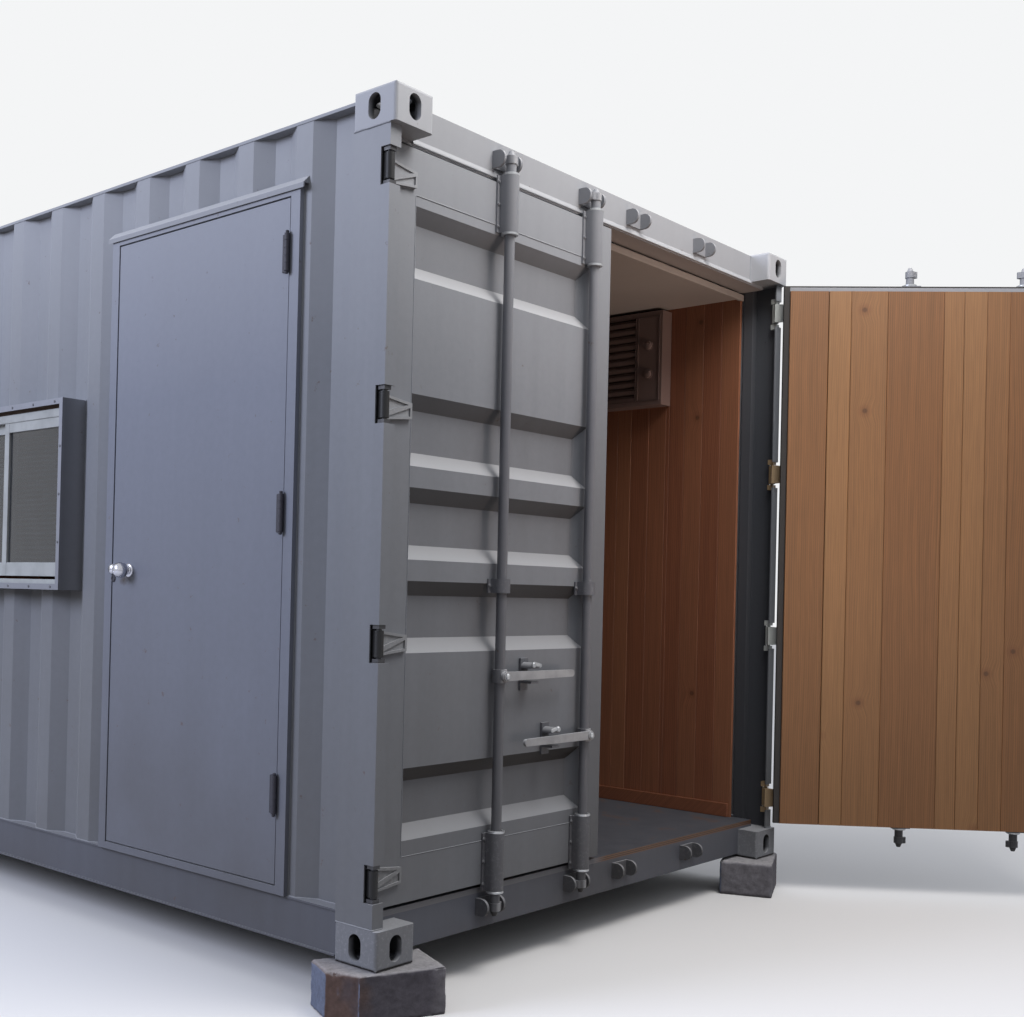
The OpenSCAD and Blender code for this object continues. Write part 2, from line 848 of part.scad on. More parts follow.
// bent sheet cap over the entry door, open below, with closed ends
module drip_cap() {
  length = entry_w + 2 * cap_side;
  color(steel) lift()
    translate([-entry_out - cap_out, entry_y - cap_side + length, entry_top - cap_drop])
      rotate([90, 0, 0]) difference() {
        linear_extrude(length) cap_section(0);
        translate([0, 0, cap_t]) linear_extrude(length - 2 * cap_t) cap_section(cap_t);
        translate([cap_out, -1, -1]) cube([entry_out + wall_set + 1, cap_drop + 1, length + 2]);
      }
}

module entry_leaf() {
  color(steel) lift()
    translate([leaf_face, leaf_y, leaf_low])
      cube([entry_leaf_t, entry_leaf_w, entry_leaf_h]);
}

module entry_hinges() {
  color(steel_dark) lift() for (f = [entry_hinge_foot, entry_hinge_mid, entry_hinge_last])
    translate([entry_pin_x, entry_pin_y, leaf_low + f - entry_hinge_h / 2]) {
      cylinder(h = entry_hinge_h, d = entry_knuckle);
      translate([leaf_face - entry_pin_x - entry_plate_t, leaf_y - entry_pin_y, 0])
        cube([entry_plate_t, entry_plate_w, entry_hinge_h]);
      cube([leaf_face - entry_pin_x, leaf_y - entry_pin_y + 8, entry_hinge_h]);
    }
}

module entry_knob() {
  color([0.7, 0.7, 0.7]) lift()
    translate([leaf_face, leaf_y + entry_leaf_w - knob_back, leaf_low + knob_up])
      rotate([0, -90, 0]) {
        cylinder(h = 8, d = knob_d + 10);
        cylinder(h = knob_out - knob_d / 2, d = knob_d * 0.45);
        translate([0, 0, knob_out - knob_d / 2]) sphere(d = knob_d);
      }
}

// steel plate box with a front lip, set through the wall
module window_box() {
  color(steel) lift() translate([-win_out, win_y, win_low]) {
    difference() {
      cube([win_deep, win_w, win_h]);
      translate([-1, win_plate, win_plate])
        cube([win_deep + 2, win_w - 2 * win_plate, win_h - 2 * win_plate]);
    }
    difference() {
      cube([win_plate, win_w, win_h]);
      translate([-1, win_lip, win_lip])
        cube([win_plate + 2, win_w - 2 * win_lip, win_h - 2 * win_lip]);
    }
  }
}

module window_sashes() {
  color([0.8, 0.82, 0.84]) lift()
    translate([-win_out + sash_set, win_y + win_plate, win_low + win_plate])
      difference() {
        cube([sash_d, win_w - 2 * win_plate, win_h - 2 * win_plate]);
        for (i = [0, 1])
          translate([-1, sash_w + i * (sash_open_w + sash_w), sash_rail])
            cube([sash_d + 2, sash_open_w, sash_open_h]);
      }
}

module window_glass() {
  color([0.2, 0.25, 0.28]) lift() for (i = [0, 1])
    translate([-win_out + sash_set + sash_d / 2,
      win_y + win_plate + sash_w + i * (sash_open_w + sash_w), win_low + win_plate + sash_rail])
      cube([glass_t, sash_open_w, sash_open_h]);
}

// cooling unit set through the right wall, with a slatted front inside
module air_conditioner() {
  deep = lining_set + lining_t + ac_out - wall_set;
  slat_zone = ac_w * 0.74;
  slat_pitch = (ac_h - 2 * ac_rim) / ac_slats;
  color([0.3, 0.3, 0.32]) lift()
    translate([cont_w - wall_set - deep, ac_y, ac_low]) {
      difference() {
        cube([deep, ac_w, ac_h]);
        translate([-1, ac_shell, ac_shell])
          cube([deep - ac_shell + 1, ac_w - 2 * ac_shell, ac_h - 2 * ac_shell]);
        for (i = [0 : ac_slats - 1])
          translate([deep - groove_in, ac_rim, ac_rim + (i + 0.5) * slat_pitch - groove_h / 2])
            cube([groove_in + 1, ac_w - 2 * ac_rim, groove_h]);
      }
      difference() {
        cube([ac_front, ac_w, ac_h]);
        for (i = [0 : ac_slats - 1])
          translate([-1, ac_w - ac_rim - slat_zone, ac_rim + (i + 0.5) * slat_pitch])
            cube([ac_front + 2, slat_zone, slat_pitch / 2]);
      }
    }
}

// cargo doors are drawn closed on the left, then put in place
module left_leaf() {
  lift() children();
}

module right_leaf() {
  lift()
    translate([cont_w - pin_x, pin_y, 0])
      rotate([0, 0, right_open])
        mirror([1, 0, 0])
          translate([-pin_x, -pin_y, 0]) children();
}

module leaf_frame() {
  translate([leaf_x, leaf_set, leaf_low_z]) {
    for (x = [0, leaf_w - stile_w]) translate([x, 0, 0]) difference() {
      cube([stile_w, leaf_d, leaf_h]);
      translate([leaf_wall, leaf_wall, -1])
        cube([stile_w - 2 * leaf_wall, leaf_d - 2 * leaf_wall, leaf_h + 2]);
    }
    for (z = [0, leaf_h - leaf_rail]) translate([stile_w - leaf_wall / 2, 0, z])
      tube_x(leaf_w - 2 * stile_w + leaf_wall, leaf_d, leaf_rail, leaf_wall);
  }
}

// recesses as points up the leaf: [depth, height]
function press_points() = [
  for (k = press_steps)
    let (zc = press_first + k * press_pitch)
    each [[0, zc - press_h / 2], [press_depth, zc - press_h / 2 + press_slope],
      [press_depth, zc + press_h / 2 - press_slope], [0, zc + press_h / 2]]];

module leaf_panel() {
  z0 = leaf_low_z + leaf_rail;
  z1 = leaf_top_z - leaf_rail;
  x0 = leaf_x + stile_w;
  w = leaf_w - 2 * stile_w;
  face = concat([[0, z0]], press_points(), [[0, z1]]);
  n = len(face);
  back = [for (i = [n - 1 : -1 : 0]) [face[i][0] + sheet_t, face[i][1]]];
  translate([x0, leaf_set + press_set, 0]) {
    rotate([90, 0, 90]) linear_extrude(w) polygon(concat(face, back));
    for (s = [0, 1]) translate([s * w, 0, 0]) mirror([s, 0, 0])
      intersection() {
        rotate([90, 0, 90]) linear_extrude(press_taper) union() {
          for (k = press_steps) {
            zc = press_first + k * press_pitch;
            polygon([[0, zc - press_h / 2], [press_depth, zc - press_h / 2 + press_slope],
              [press_depth, zc + press_h / 2 - press_slope], [0, zc + press_h / 2]]);
          }
        }
        linear_extrude(z1) polygon([[0, 0], [0, press_depth], [press_taper, press_depth]]);
      }
  }
}

// rubber ring around the leaf's edge, with a flat seat down its two sides
module leaf_gasket() {
  y0 = leaf_set + leaf_d - gasket_d;
  difference() {
    translate([leaf_x - gasket_out, y0, leaf_low_z - gasket_low])
      cube([leaf_w + 2 * gasket_out, gasket_d, leaf_h + gasket_low + gasket_out]);
    translate([leaf_x, y0 - 1, leaf_low_z])
      cube([leaf_w, gasket_d + 2, leaf_h]);
  }
  for (x = [leaf_x - gasket_out, leaf_x + leaf_w - gasket_w])
    translate([x, leaf_set + leaf_d, leaf_low_z - gasket_out / 2])
      cube([gasket_w + gasket_out, gasket_seat, leaf_h + gasket_out]);
}

// hinge blade in plan, measured from the pin
module blade_plan() {
  reach = leaf_set - pin_y;
  circle(r = knuckle_r);
  translate([-knuckle_web / 2, 0]) square([knuckle_web, reach]);
  translate([-knuckle_web / 2, reach - blade_t]) square([blade_l + knuckle_web / 2, blade_t]);
}

// half height of the tapered blade at distance x from the pin
function blade_half(x) =
  (knuckle_h + (blade_end - knuckle_h) * (x - knuckle_r) / (blade_l - knuckle_r)) / 2;

// forged blades: a knuckle on the pin, a web, and a tapered blade whose
// outer face has two pockets on either side of a slanting rib
module leaf_hinges() {
  face = leaf_set - pin_y - blade_t;
  a = knuckle_r + blade_rim;
  b = blade_l - blade_rim;
  ha = blade_half(a) - blade_rim;
  hb = blade_half(b) - blade_rim;
  hinge_levels() translate([pin_x, pin_y, 0]) difference() {
    intersection() {
      translate([0, 0, -knuckle_h / 2]) linear_extrude(knuckle_h) blade_plan();
      translate([0, leaf_set, 0]) rotate([90, 0, 0]) linear_extrude(2 * leaf_set)
        polygon([[-2 * knuckle_r, -knuckle_h / 2], [knuckle_r, -knuckle_h / 2],
          [blade_l, -blade_end / 2], [blade_l, blade_end / 2],
          [knuckle_r, knuckle_h / 2], [-2 * knuckle_r, knuckle_h / 2]]);
    }
    translate([0, 0, -knuckle_h]) cylinder(h = 2 * knuckle_h, r = pin_d / 2 + pin_clear);
    translate([0, face + blade_pocket, 0]) rotate([90, 0, 0]) linear_extrude(2 * blade_pocket) {
      polygon([[a, ha], [a, -ha + 2 * blade_rim], [b - blade_rim, hb]]);
      polygon([[a + blade_rim, -ha], [b, -hb], [b, hb - blade_rim]]);
    }
  }
}

// guide that a lock bar turns in: a sleeve on a foot plate
module guide(x, z, h, face) {
  r = bar_d / 2 + guide_clear + guide_wall;
  foot = r + guide_foot;
  translate([x, bar_y, z]) difference() {
    union() {
      cylinder(h = h, r = r);
      translate([-r, 0, 0]) cube([2 * r, face - bar_y, h]);
      translate([-foot, face - bar_y - guide_foot_t, 0]) cube([2 * foot, guide_foot_t, h]);
    }
    translate([0, 0, -1]) cylinder(h = h + 2, r = bar_d / 2 + guide_clear);
  }
}

// handle catch: a back plate, a shelf under the handle and a lug over it
module catch(x, z) {
  face = leaf_set + press_set;
  half = handle_h / 2 + catch_gap;
  reach = bar_y - lever_in;
  translate([x - catch_w / 2, face - catch_t, z - catch_h / 2])
    cube([catch_w, catch_t, catch_h]);
  translate([x - catch_w / 2, reach, z - half - catch_t])
    cube([catch_w, face - reach, catch_t]);
  translate([x, face, z + half]) rotate([90, 0, 0]) linear_extrude(face - reach)
    intersection() {
      circle(d = catch_w);
      translate([-catch_w, 0]) square([2 * catch_w, catch_w / 2]);
    }
}

module leaf_guides() {
  face = leaf_set + press_set;
  for (x = [bar_one, bar_two]) {
    guide(x, leaf_low_z + guide_end, guide_big, leaf_set);
    guide(x, leaf_top_z - guide_end - guide_big, guide_big, leaf_set);
    difference() {
      guide(x, guide_mid, guide_small, face);
      translate([leaf_x + leaf_w - stile_w, leaf_set, guide_mid - 1])
        cube([stile_w, leaf_d, guide_small + 2]);
    }
  }
  catch(bar_one + catch_one, handle_one);
  catch(bar_two - catch_two, handle_two);
}

module leaf_lining() {
  rim = gasket_w + 1;
  translate([leaf_x + rim, leaf_set + leaf_d, leaf_low_z - lining_low])
    cube([leaf_w - 2 * rim, lining_t, leaf_h + lining_low - lining_head]);
}

// one lock bar with its cams; way is +1 or -1 along X for the handle
module lock_bar(x, handle_z, way) {
  low = keeper_low - cam_h / 2;
  high = cont_h - keeper_drop + cam_h / 2;
  tip = bar_end - cam_h / 2;
  translate([x, bar_y, 0]) {
    translate([0, 0, low]) cylinder(h = high - low, d = bar_d);
    translate([0, 0, low - tip]) cylinder(h = tip, d1 = bar_tip, d2 = bar_d - 4);
    translate([0, 0, high]) cylinder(h = tip, d1 = bar_d - 4, d2 = bar_tip);
    for (z = [keeper_low, cont_h - keeper_drop]) translate([0, 0, z - cam_h / 2])
      linear_extrude(cam_h) mirror([way < 0 ? 1 : 0, 0]) cam_plan();
    translate([0, 0, handle_z - hub_h / 2]) cylinder(h = hub_h, r = hub_r);
    translate([0, 0, handle_z]) rotate([90, 0, 0])
      cylinder(h = lever_in + handle_t / 2 + rivet_out, r = boss_r);
    translate([0, handle_t / 2 - lever_in, handle_z]) rotate([90, 0, 0])
      linear_extrude(handle_t) mirror([way < 0 ? 1 : 0, 0]) handle_plan();
  }
}

// cam in plan: a collar and a tapering nose
module cam_plan() {
  circle(r = cam_r);
  translate([cam_reach - cam_nose / 2, 0]) circle(d = cam_nose);
  polygon([[0, -cam_r], [cam_reach - cam_nose / 2, -cam_nose / 2],
    [cam_reach - cam_nose / 2, cam_nose / 2], [0, cam_r]]);
}

// handle seen from the front: a round eye, a tapering arm and a round grip end
module handle_plan() {
  circle(r = eye_r);
  translate([handle_l - grip_h / 2, 0]) circle(d = grip_h);
  polygon([[0, -handle_h / 2], [handle_l - grip_h / 2, -grip_h / 2],
    [handle_l - grip_h / 2, grip_h / 2], [0, handle_h / 2]]);
}

module left_door_frame() { color(steel) left_leaf() leaf_frame(); }
module left_door_panel() { color(steel) left_leaf() leaf_panel(); }
module left_door_gasket() { color(rubber) left_leaf() leaf_gasket(); }
module left_door_hinges() { color(steel_dark) left_leaf() leaf_hinges(); }
module left_door_guides() { color(steel_dark) left_leaf() leaf_guides(); }
module left_door_lining() { color(timber) left_leaf() leaf_lining(); }
module right_door_frame() { color(steel) right_leaf() leaf_frame(); }
module right_door_panel() { color(steel) right_leaf() leaf_panel(); }
module right_door_gasket() { color(rubber) right_leaf() leaf_gasket(); }
module right_door_hinges() { color(steel_dark) right_leaf() leaf_hinges(); }
module right_door_guides() { color(steel_dark) right_leaf() leaf_guides(); }
module right_door_lining() { color(timber) right_leaf() leaf_lining(); }
module left_lock_bar_outer() { color(steel) left_leaf() lock_bar(bar_one, handle_one, 1); }
module left_lock_bar_inner() { color(steel) left_leaf() lock_bar(bar_two, handle_two, -1); }
module right_lock_bar_outer() { color(steel) right_leaf() lock_bar(bar_one, handle_one, 1); }
module right_lock_bar_inner() { color(steel) right_leaf() lock_bar(bar_two, handle_two, -1); }

module support_blocks() {
  color([0.4, 0.35, 0.32]) both_ends() both_sides()
    translate([-block_side, block_fore, 0])
      rotate([0, 0, -block_turn])
        linear_extrude(block_h) polygon([[0, 0], [block_l - block_break, 0],
          [block_l - block_break, block_w], [-block_break, block_w],
          [-block_break, block_bite]]);
}

corner_castings();
rear_posts();
hinge_lugs();
door_header();
door_sill();
cam_keepers();
far_posts();
far_rails();
top_side_rails();
bottom_side_rails();
cross_members();
floor_boards();
left_wall_near();
left_wall_over_door();
left_wall_far();
right_wall();
far_wall();
roof();
left_lining();
right_lining();
far_lining();
ceiling();
entry_frame();
drip_cap();
entry_leaf();
entry_hinges();
entry_knob();
window_box();
window_sashes();
window_glass();
air_conditioner();
left_door_frame();
left_door_panel();
left_door_gasket();
left_door_hinges();
left_door_guides();
left_door_lining();
right_door_frame();
right_door_panel();
right_door_gasket();
right_door_hinges();
right_door_guides();
right_door_lining();
left_lock_bar_outer();
left_lock_bar_inner();
right_lock_bar_outer();
right_lock_bar_inner();
support_blocks();
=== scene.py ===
import math
import random
from functools import partial

import bmesh
import bpy
from mathutils import Matrix, Vector, noise


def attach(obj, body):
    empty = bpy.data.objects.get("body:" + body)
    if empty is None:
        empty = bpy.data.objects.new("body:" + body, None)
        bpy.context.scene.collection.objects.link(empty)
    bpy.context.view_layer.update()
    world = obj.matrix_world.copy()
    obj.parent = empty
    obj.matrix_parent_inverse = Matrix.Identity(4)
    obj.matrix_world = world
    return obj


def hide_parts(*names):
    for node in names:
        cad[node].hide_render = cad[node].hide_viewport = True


# Shipping container cabin: the looks of a 20 ft steel container fitted out as
# a small office. Metres, +Z up; the ground is at zero, the underside of the
# corner castings at 0.14, and the door end's castings start at Y = 0.
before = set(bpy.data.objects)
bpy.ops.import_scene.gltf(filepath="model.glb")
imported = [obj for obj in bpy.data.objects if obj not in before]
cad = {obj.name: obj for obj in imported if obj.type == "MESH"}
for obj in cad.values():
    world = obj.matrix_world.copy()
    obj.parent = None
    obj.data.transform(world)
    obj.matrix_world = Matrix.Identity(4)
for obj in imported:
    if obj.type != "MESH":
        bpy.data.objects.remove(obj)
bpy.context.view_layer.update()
scene = bpy.context.scene

# Camera
# Eye height of a standing person at the left front corner, looking in along
# the door end; verticals lean in a little and the frame is rolled by 1.3 deg.
EYE = Vector((-2.5597, -2.5445, 1.2442))
YAW, PITCH, ROLL = 0.8469392516, 0.0072035, 0.0232894
SENSOR, FOCAL, SHIFT = 36, 43.875, (0.0529, 0.0737)
ahead = Vector((math.sin(YAW) * math.cos(PITCH), math.cos(YAW) * math.cos(PITCH), math.sin(PITCH)))
level = Vector((math.cos(YAW), -math.sin(YAW), 0))
above = level.cross(ahead)
right = level * math.cos(ROLL) + above * math.sin(ROLL)
top = above * math.cos(ROLL) - level * math.sin(ROLL)
lens = bpy.data.cameras.new("photo_viewpoint")
lens.sensor_fit, lens.sensor_width, lens.lens = "HORIZONTAL", SENSOR, FOCAL
lens.shift_x, lens.shift_y = SHIFT
lens.clip_end = 200
camera = bpy.data.objects.new("photo_viewpoint", lens)
camera.matrix_world = Matrix.Translation(EYE) @ Matrix((right, top, -ahead)).transposed().to_4x4()
scene.collection.objects.link(camera)
scene.camera = camera

# Light and floor
# A plain studio: a soft dome that is brightest overhead, a big soft lamp at
# the far left that rakes along the long wall, a softbox hung above and in
# front of the door end, a weak low fill for the inside, and a pale floor.
SKY, HORIZON, UNDER = 0.95, 0.05, 0.03
FLOOR_HALF = 40
LAMPS = (("left_back_lamp", (-6.2, 3.9, 4.6), (0.0, 2.0, 1.4), 4.0, 455, 180, "#dfe6ff"),
         ("door_end_lamp", (1.1, -1.6, 4.7), (1.1, 0.4, 1.6), 2.0, 108, 180, "#fdfaf8"),
         ("ceiling_fill_lamp", (1.5, -3.0, 0.3), (1.8, 1.0, 2.5), 1.2, 7, 60, "#ffe8d8"))
scene.view_settings.view_transform = "Standard"


def lin(code):
    """sRGB hex to a linear colour."""
    parts = [int(code[i:i + 2], 16) / 255 for i in (1, 3, 5)]
    return tuple(c / 12.92 if c < 0.04045 else ((c + 0.055) / 1.055) ** 2.4 for c in parts) + (1,)


def feed(made, *values, **named):
    """Sets a node's inputs: those in use in order, then others by name. Each
    takes a plain value, a hex colour, or one or more outputs that feed it."""
    pairs = list(zip([s for s in made.inputs if s.enabled], values))
    pairs += [(made.inputs[key.replace("_", " ")], value) for key, value in named.items()]
    for socket, value in pairs:
        for source in value if isinstance(value, list) else [value]:
            if isinstance(source, bpy.types.NodeSocket):
                made.id_data.links.new(source, socket)
            else:
                is_colour = isinstance(source, str) and source.startswith("#")
                socket.default_value = lin(source) if is_colour else source


def add(tree, kind, *values, out=None, **named):
    """Adds a node and gives back its output of that name, or the first in
    use. A word after the kind is its operation or data type, a name in lower
    case is a setting, and the rest feeds its inputs."""
    kind, _, mode = kind.partition(" ")
    made = tree.nodes.new(kind if "Node" in kind else "ShaderNode" + kind)
    if mode:
        setattr(made, "operation" if hasattr(made, "operation") else "data_type", mode)
    for key in [k for k in named if k.islower()]:
        setattr(made, key, named.pop(key))
    feed(made, *values, **named)
    return made.outputs[out] if out else next((o for o in made.outputs if o.enabled), None)


def finish(name):
    """A new material, the function that adds nodes to it, and its shader."""
    made = bpy.data.materials.new(name)
    made.use_nodes = True
    return made, partial(add, made.node_tree), made.node_tree.nodes["Principled BSDF"]


def in_view(node):
    """1 for what is seen directly, through glass or in a shine, 0 for what only lights."""
    rays = [node("LightPath", out="Is " + way + " Ray") for way in ("Camera", "Transmission", "Glossy")]
    return node("Math MAXIMUM", node("Math MAXIMUM", *rays[:2]), rays[2])


world = bpy.data.worlds.new("studio")
scene.world = world
world.use_nodes = True
world.node_tree.nodes.clear()
node = partial(add, world.node_tree)
height = node("SeparateXYZ", node("TexCoord", out="Generated"), out="Z")
lift = node("MapRange", height, 0.0, 0.9, HORIZON, SKY)
strength = node("Mix FLOAT", node("MapRange", height, -0.12, 0.02), UNDER, lift)
glow = node("Background", "#f1f5ff", strength)
plain = node("Background", "#f4f5f6", 1.0)
node("OutputWorld", node("MixShader", in_view(node), glow, plain))

for lamp_name, place, target, size, watts, spread, tint in LAMPS:
    bulb = bpy.data.lights.new(lamp_name, "AREA")
    bulb.shape, bulb.size, bulb.energy = "DISK", size, watts
    bulb.color, bulb.spread = lin(tint)[:3], math.radians(spread)
    lamp = bpy.data.objects.new(lamp_name, bulb)
    lamp.location = place
    lamp.rotation_euler = (Vector(target) - Vector(place)).to_track_quat("-Z", "Y").to_euler()
    scene.collection.objects.link(lamp)

ground = bpy.data.meshes.new("studio_floor")
corners = [(FLOOR_HALF * x, FLOOR_HALF * y, 0) for x, y in ((-1, -1), (1, -1), (1, 1), (-1, 1))]
ground.from_pydata(corners, [], [(0, 1, 2, 3)])
floor = bpy.data.objects.new("studio_floor", ground)
scene.collection.objects.link(floor)
floor_paint, node, shader = finish("plain pale studio floor")
feed(shader, Base_Color=node("Mix RGBA", in_view(node), "#5e554d", "#e9e8e6"), Roughness=0.9)
ground.materials.append(floor_paint)

# Steel posts, walls and roof
# Weathering steel, welded into a box: rolled posts and rails, and sheets
# pressed into corrugations. All of it was sprayed with one grey alkyd enamel.
FADE = ("#74787f", "#878a90")       # the enamel where it is fresh, and chalked
# the foot's tint is dirt and painted shade, the upward faces' tint dust and painted sky light, the downward
# faces' tint painted shade, the roof's tint chalk and painted light
FOOT_DIRT_AND_SHADE, RUST, DUST_AND_SKY_LIGHT, UNDERSIDE_SHADE, CHALK_AND_TOP_LIGHT = "#4b4741", "#5d4436", "#b3b4b6", "#1c1510", "#b9bbbf"
PEEL = 2.6                          # mm between the bumps of the spray's skin, drawn coarse


def enamel(name, fresh, chalked, gloss, bumps, streaks=0.5, worn=None, hollow=None,
           shade="#17181b", top_pale=0.45):
    """Sprayed enamel on steel: faded in clouds, washed in upright streaks by
    rain, chalked and paler near the roof with painted light there, paler on
    upward faces with dust and painted sky light, darker near the ground with
    dirt and painted shade, darker on downward faces with painted shade, and
    spots of rust; worn bares it."""
    made, node, shader = finish(name)
    at = node("TexCoord", out="Object")
    height = node("SeparateXYZ", at, out="Z")
    facing = node("SeparateXYZ", node("TexCoord", out="Normal"), out="Z")
    cloud = node("TexNoise", at, 1.3, 4.0, 0.55)
    rain = node("TexNoise", node("Mapping", at, Scale=(16.0, 16.0, 0.55)), 1.0, 5.0)
    wash = node("MapRange", rain, 0.3, 0.75, 1 - 0.09 * streaks, 1 + 0.09 * streaks)
    fleck = node("MapRange", node("TexNoise", at, 42.0, 3.0), 0.3, 0.7, 0.975, 1.025)
    colour = node("VectorMath SCALE", node("Mix RGBA", cloud, fresh, chalked),
                  node("Math MULTIPLY", wash, fleck))
    # darker towards the ground: dirt, and painted shade from the dark ground
    low_dirt_and_shade = node("Math MULTIPLY", node("MapRange", height, 1.9, 0.14, 0.0, 0.9), cloud)
    # paler near the roof: chalking, and painted light from the bright sky above
    chalk_and_top_light = node("MapRange", height, 1.9, 2.75, 0.0, top_pale)
    rusty = node("MapRange", node("TexNoise", at, 26.0, 9.0, 0.65), 0.66, 0.72, 0.0, 0.6)
    # paler on upward faces, more so higher up: dust, and painted sky light and sheen
    ledge_dust_and_light = node("Math MULTIPLY", node("MapRange", facing, 0.15, 0.7),
                 node("MapRange", height, 0.3, 2.3, 0.4, 0.95))
    # darker on downward faces, most near the ground: painted shade
    under = node("Math MULTIPLY", node("MapRange", facing, -0.15, -0.5, 0.0, 0.95),
                 node("MapRange", height, 2.8, 0.9, 0.15, 1.0))
    layers = [(low_dirt_and_shade, FOOT_DIRT_AND_SHADE), (chalk_and_top_light, CHALK_AND_TOP_LIGHT), (rusty, RUST), (ledge_dust_and_light, DUST_AND_SKY_LIGHT), (under, UNDERSIDE_SHADE)]
    if worn:
        rub = node("TexNoise", at, 90.0, 6.0, 0.7)
        layers.append((node("MapRange", rub, 0.52, 0.70, 0.0, 0.35), worn))
    if hollow:
        layers.append((hollow(node, at), shade))
    for share, tint in layers:
        colour = node("Mix RGBA", share, colour, tint)
    skin = node("Bump", Height=node("TexNoise", at, 1000 / PEEL, 2.0), Strength=0.35 * bumps,
                Distance=0.0006)
    broad = node("Bump", Height=node("TexNoise", at, 3.2, 1.0), Strength=0.25, Distance=0.006,
                 Normal=skin)
    feed(shader, Base_Color=colour, Specular_IOR_Level=0.3, Normal=broad,
         Roughness=node("MapRange", cloud, 0.3, 0.7, gloss, gloss + 0.14))
    return made


def dress(material, *names):
    """Gives the CAD nodes of these names the material."""
    for name in names:
        for held in cad[name].material_slots:
            held.material = material


# satin, slightly chalked, with rain streaks: reads as painted sheet steel
sheet_enamel = enamel("grey alkyd enamel on sheet steel", *FADE, 0.42, 1.0)
dress(sheet_enamel, "far_posts", "far_rails", "top_side_rails", "left_wall_near",
      "left_wall_over_door", "left_wall_far", "right_wall", "far_wall", "roof", "drip_cap")


def shaded_post_pockets(node, at):
    """Up to 0.72 of painted shade inside the rear posts' channels, 0 on their outer faces."""
    half = node("Math SUBTRACT", 1.219, node("SeparateXYZ", at, out="X"))
    inside = node("MapRange", node("Math ABSOLUTE", half), 1.2135, 1.2115, 0.0, 0.72)
    return node("Math MULTIPLY", inside, node("MapRange", node("SeparateXYZ", at, out="Y"), 0.024, 0.030))


def lit_soffit(node, at):
    """Up to 0.85 under the header where the door stands open: a pale, warm painted light."""
    down = node("SeparateXYZ", node("TexCoord", out="Normal"), out="Z")
    open_half = node("MapRange", node("SeparateXYZ", at, out="X"), 1.20, 1.23)
    return node("Math MULTIPLY", node("MapRange", down, -0.6, -0.9, 0.0, 0.85), open_half)


# dark inside the channels as painted shade: reads as deep posts
dress(enamel("grey enamel on pressed posts", *FADE, 0.42, 1.0, hollow=shaded_post_pockets, shade="#1b1d24"),
      "rear_posts")
# paler and duller than the walls; the paleness is painted light, for the stronger light the header gets from
# above
dress(enamel("grey enamel painted paler as light", "#7e8187", "#919398", 0.5, 1.0, hollow=lit_soffit, shade="#a89d98"),
      "door_header")
# darker and duller than the walls: the rails, sill and cross members near the ground
dress(enamel("darker grey enamel near the ground", "#575b67", "#676c79", 0.52, 1.6, 0.8),
      "door_sill", "bottom_side_rails", "cross_members")

# Corner castings
# Hollow cast steel blocks with a skin of coarse sand, welded to the ends of
# the posts; their holes look into a dark inside, painted as shade.
WIDE, LONG, TALL, LIFT = 2.438, 6.058, 2.591, 0.140
CASTING = (0.162, 0.178, 0.118)


def shaded_casting_insides(node, at):
    """Nearly 1 on the walls of a casting's holes and inside it, where shade is painted; 0 on its outer faces.
    """
    depth = 1.0
    for axis, full, start, size in (("X", WIDE, 0.0, CASTING[0]), ("Y", LONG, 0.0, CASTING[1]),
                                    ("Z", TALL + 2 * LIFT, LIFT, CASTING[2])):
        run = node("SeparateXYZ", at, out=axis)
        fold = node("Math MINIMUM", run, node("Math SUBTRACT", full, run))
        near, far = node("Math SUBTRACT", fold, start), node("Math SUBTRACT", start + size, fold)
        depth = node("Math MINIMUM", depth, node("Math MINIMUM", near, far))
    return node("MapRange", depth, 0.004, 0.020, 0.0, 0.95)


# rougher than the sheet, rubbed pale on its bumps, black inside its holes as
# painted shade and much paler near the top as painted light: reads as sand cast steel
dress(enamel("grey alkyd enamel on cast steel", "#858991", "#9b9ea5", 0.5, 4.0, 0.3, "#b0b1b3",
             shaded_casting_insides, top_pale=0.9), "corner_castings")

# Weld beads
# Fillets of weld metal, laid by hand in short ripples and painted over: the
# wall sheets to the bottom rails, the posts to the castings, the entry
# frame's and window box's edges to the sheets.
SHEET_IN, INNER, RUN, OUTER, DEEP, START = 0.010, 0.076, 0.068, 0.076, 0.036, 0.223
PITCH_Y = INNER + OUTER + 2 * RUN
POST, SEAT = 0.178, 0.294           # depth of the post; top of the bottom rail
ENTRY = (0.400, 1.426, 2.503)       # the entry frame's sides and top
BOX = (1.655, 2.540, 1.221, 1.941)  # the window box: Y from and to, Z from and to
OFF = 0.001                         # how far a bead's middle stands off an edge


def growth(name, **sizes):
    """A Geometry Nodes tree with named inputs, what adds nodes to it, and
    what it is given."""
    made = bpy.data.node_groups.new(name, "GeometryNodeTree")
    for label, kind in (("Geometry", "Geometry"), *sizes.items()):
        made.interface.new_socket(label.replace("_", " "), in_out="INPUT", socket_type="NodeSocket" + kind)
    made.interface.new_socket("Geometry", in_out="OUTPUT", socket_type="NodeSocketGeometry")
    return made, partial(add, made), made.nodes.new("NodeGroupInput").outputs


def ended(node, shape, coat):
    """Ends a tree: its instances made real, in their coat."""
    whole = node("GeometryNodeRealizeInstances", shape)
    node("NodeGroupOutput", node("GeometryNodeSetMaterial", whole, Material=coat))


def fitted(piece, body, stands_for=None):
    """Fixes a piece to its body and the CAD node that it stands for."""
    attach(piece, body)
    if stands_for:
        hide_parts(stands_for)


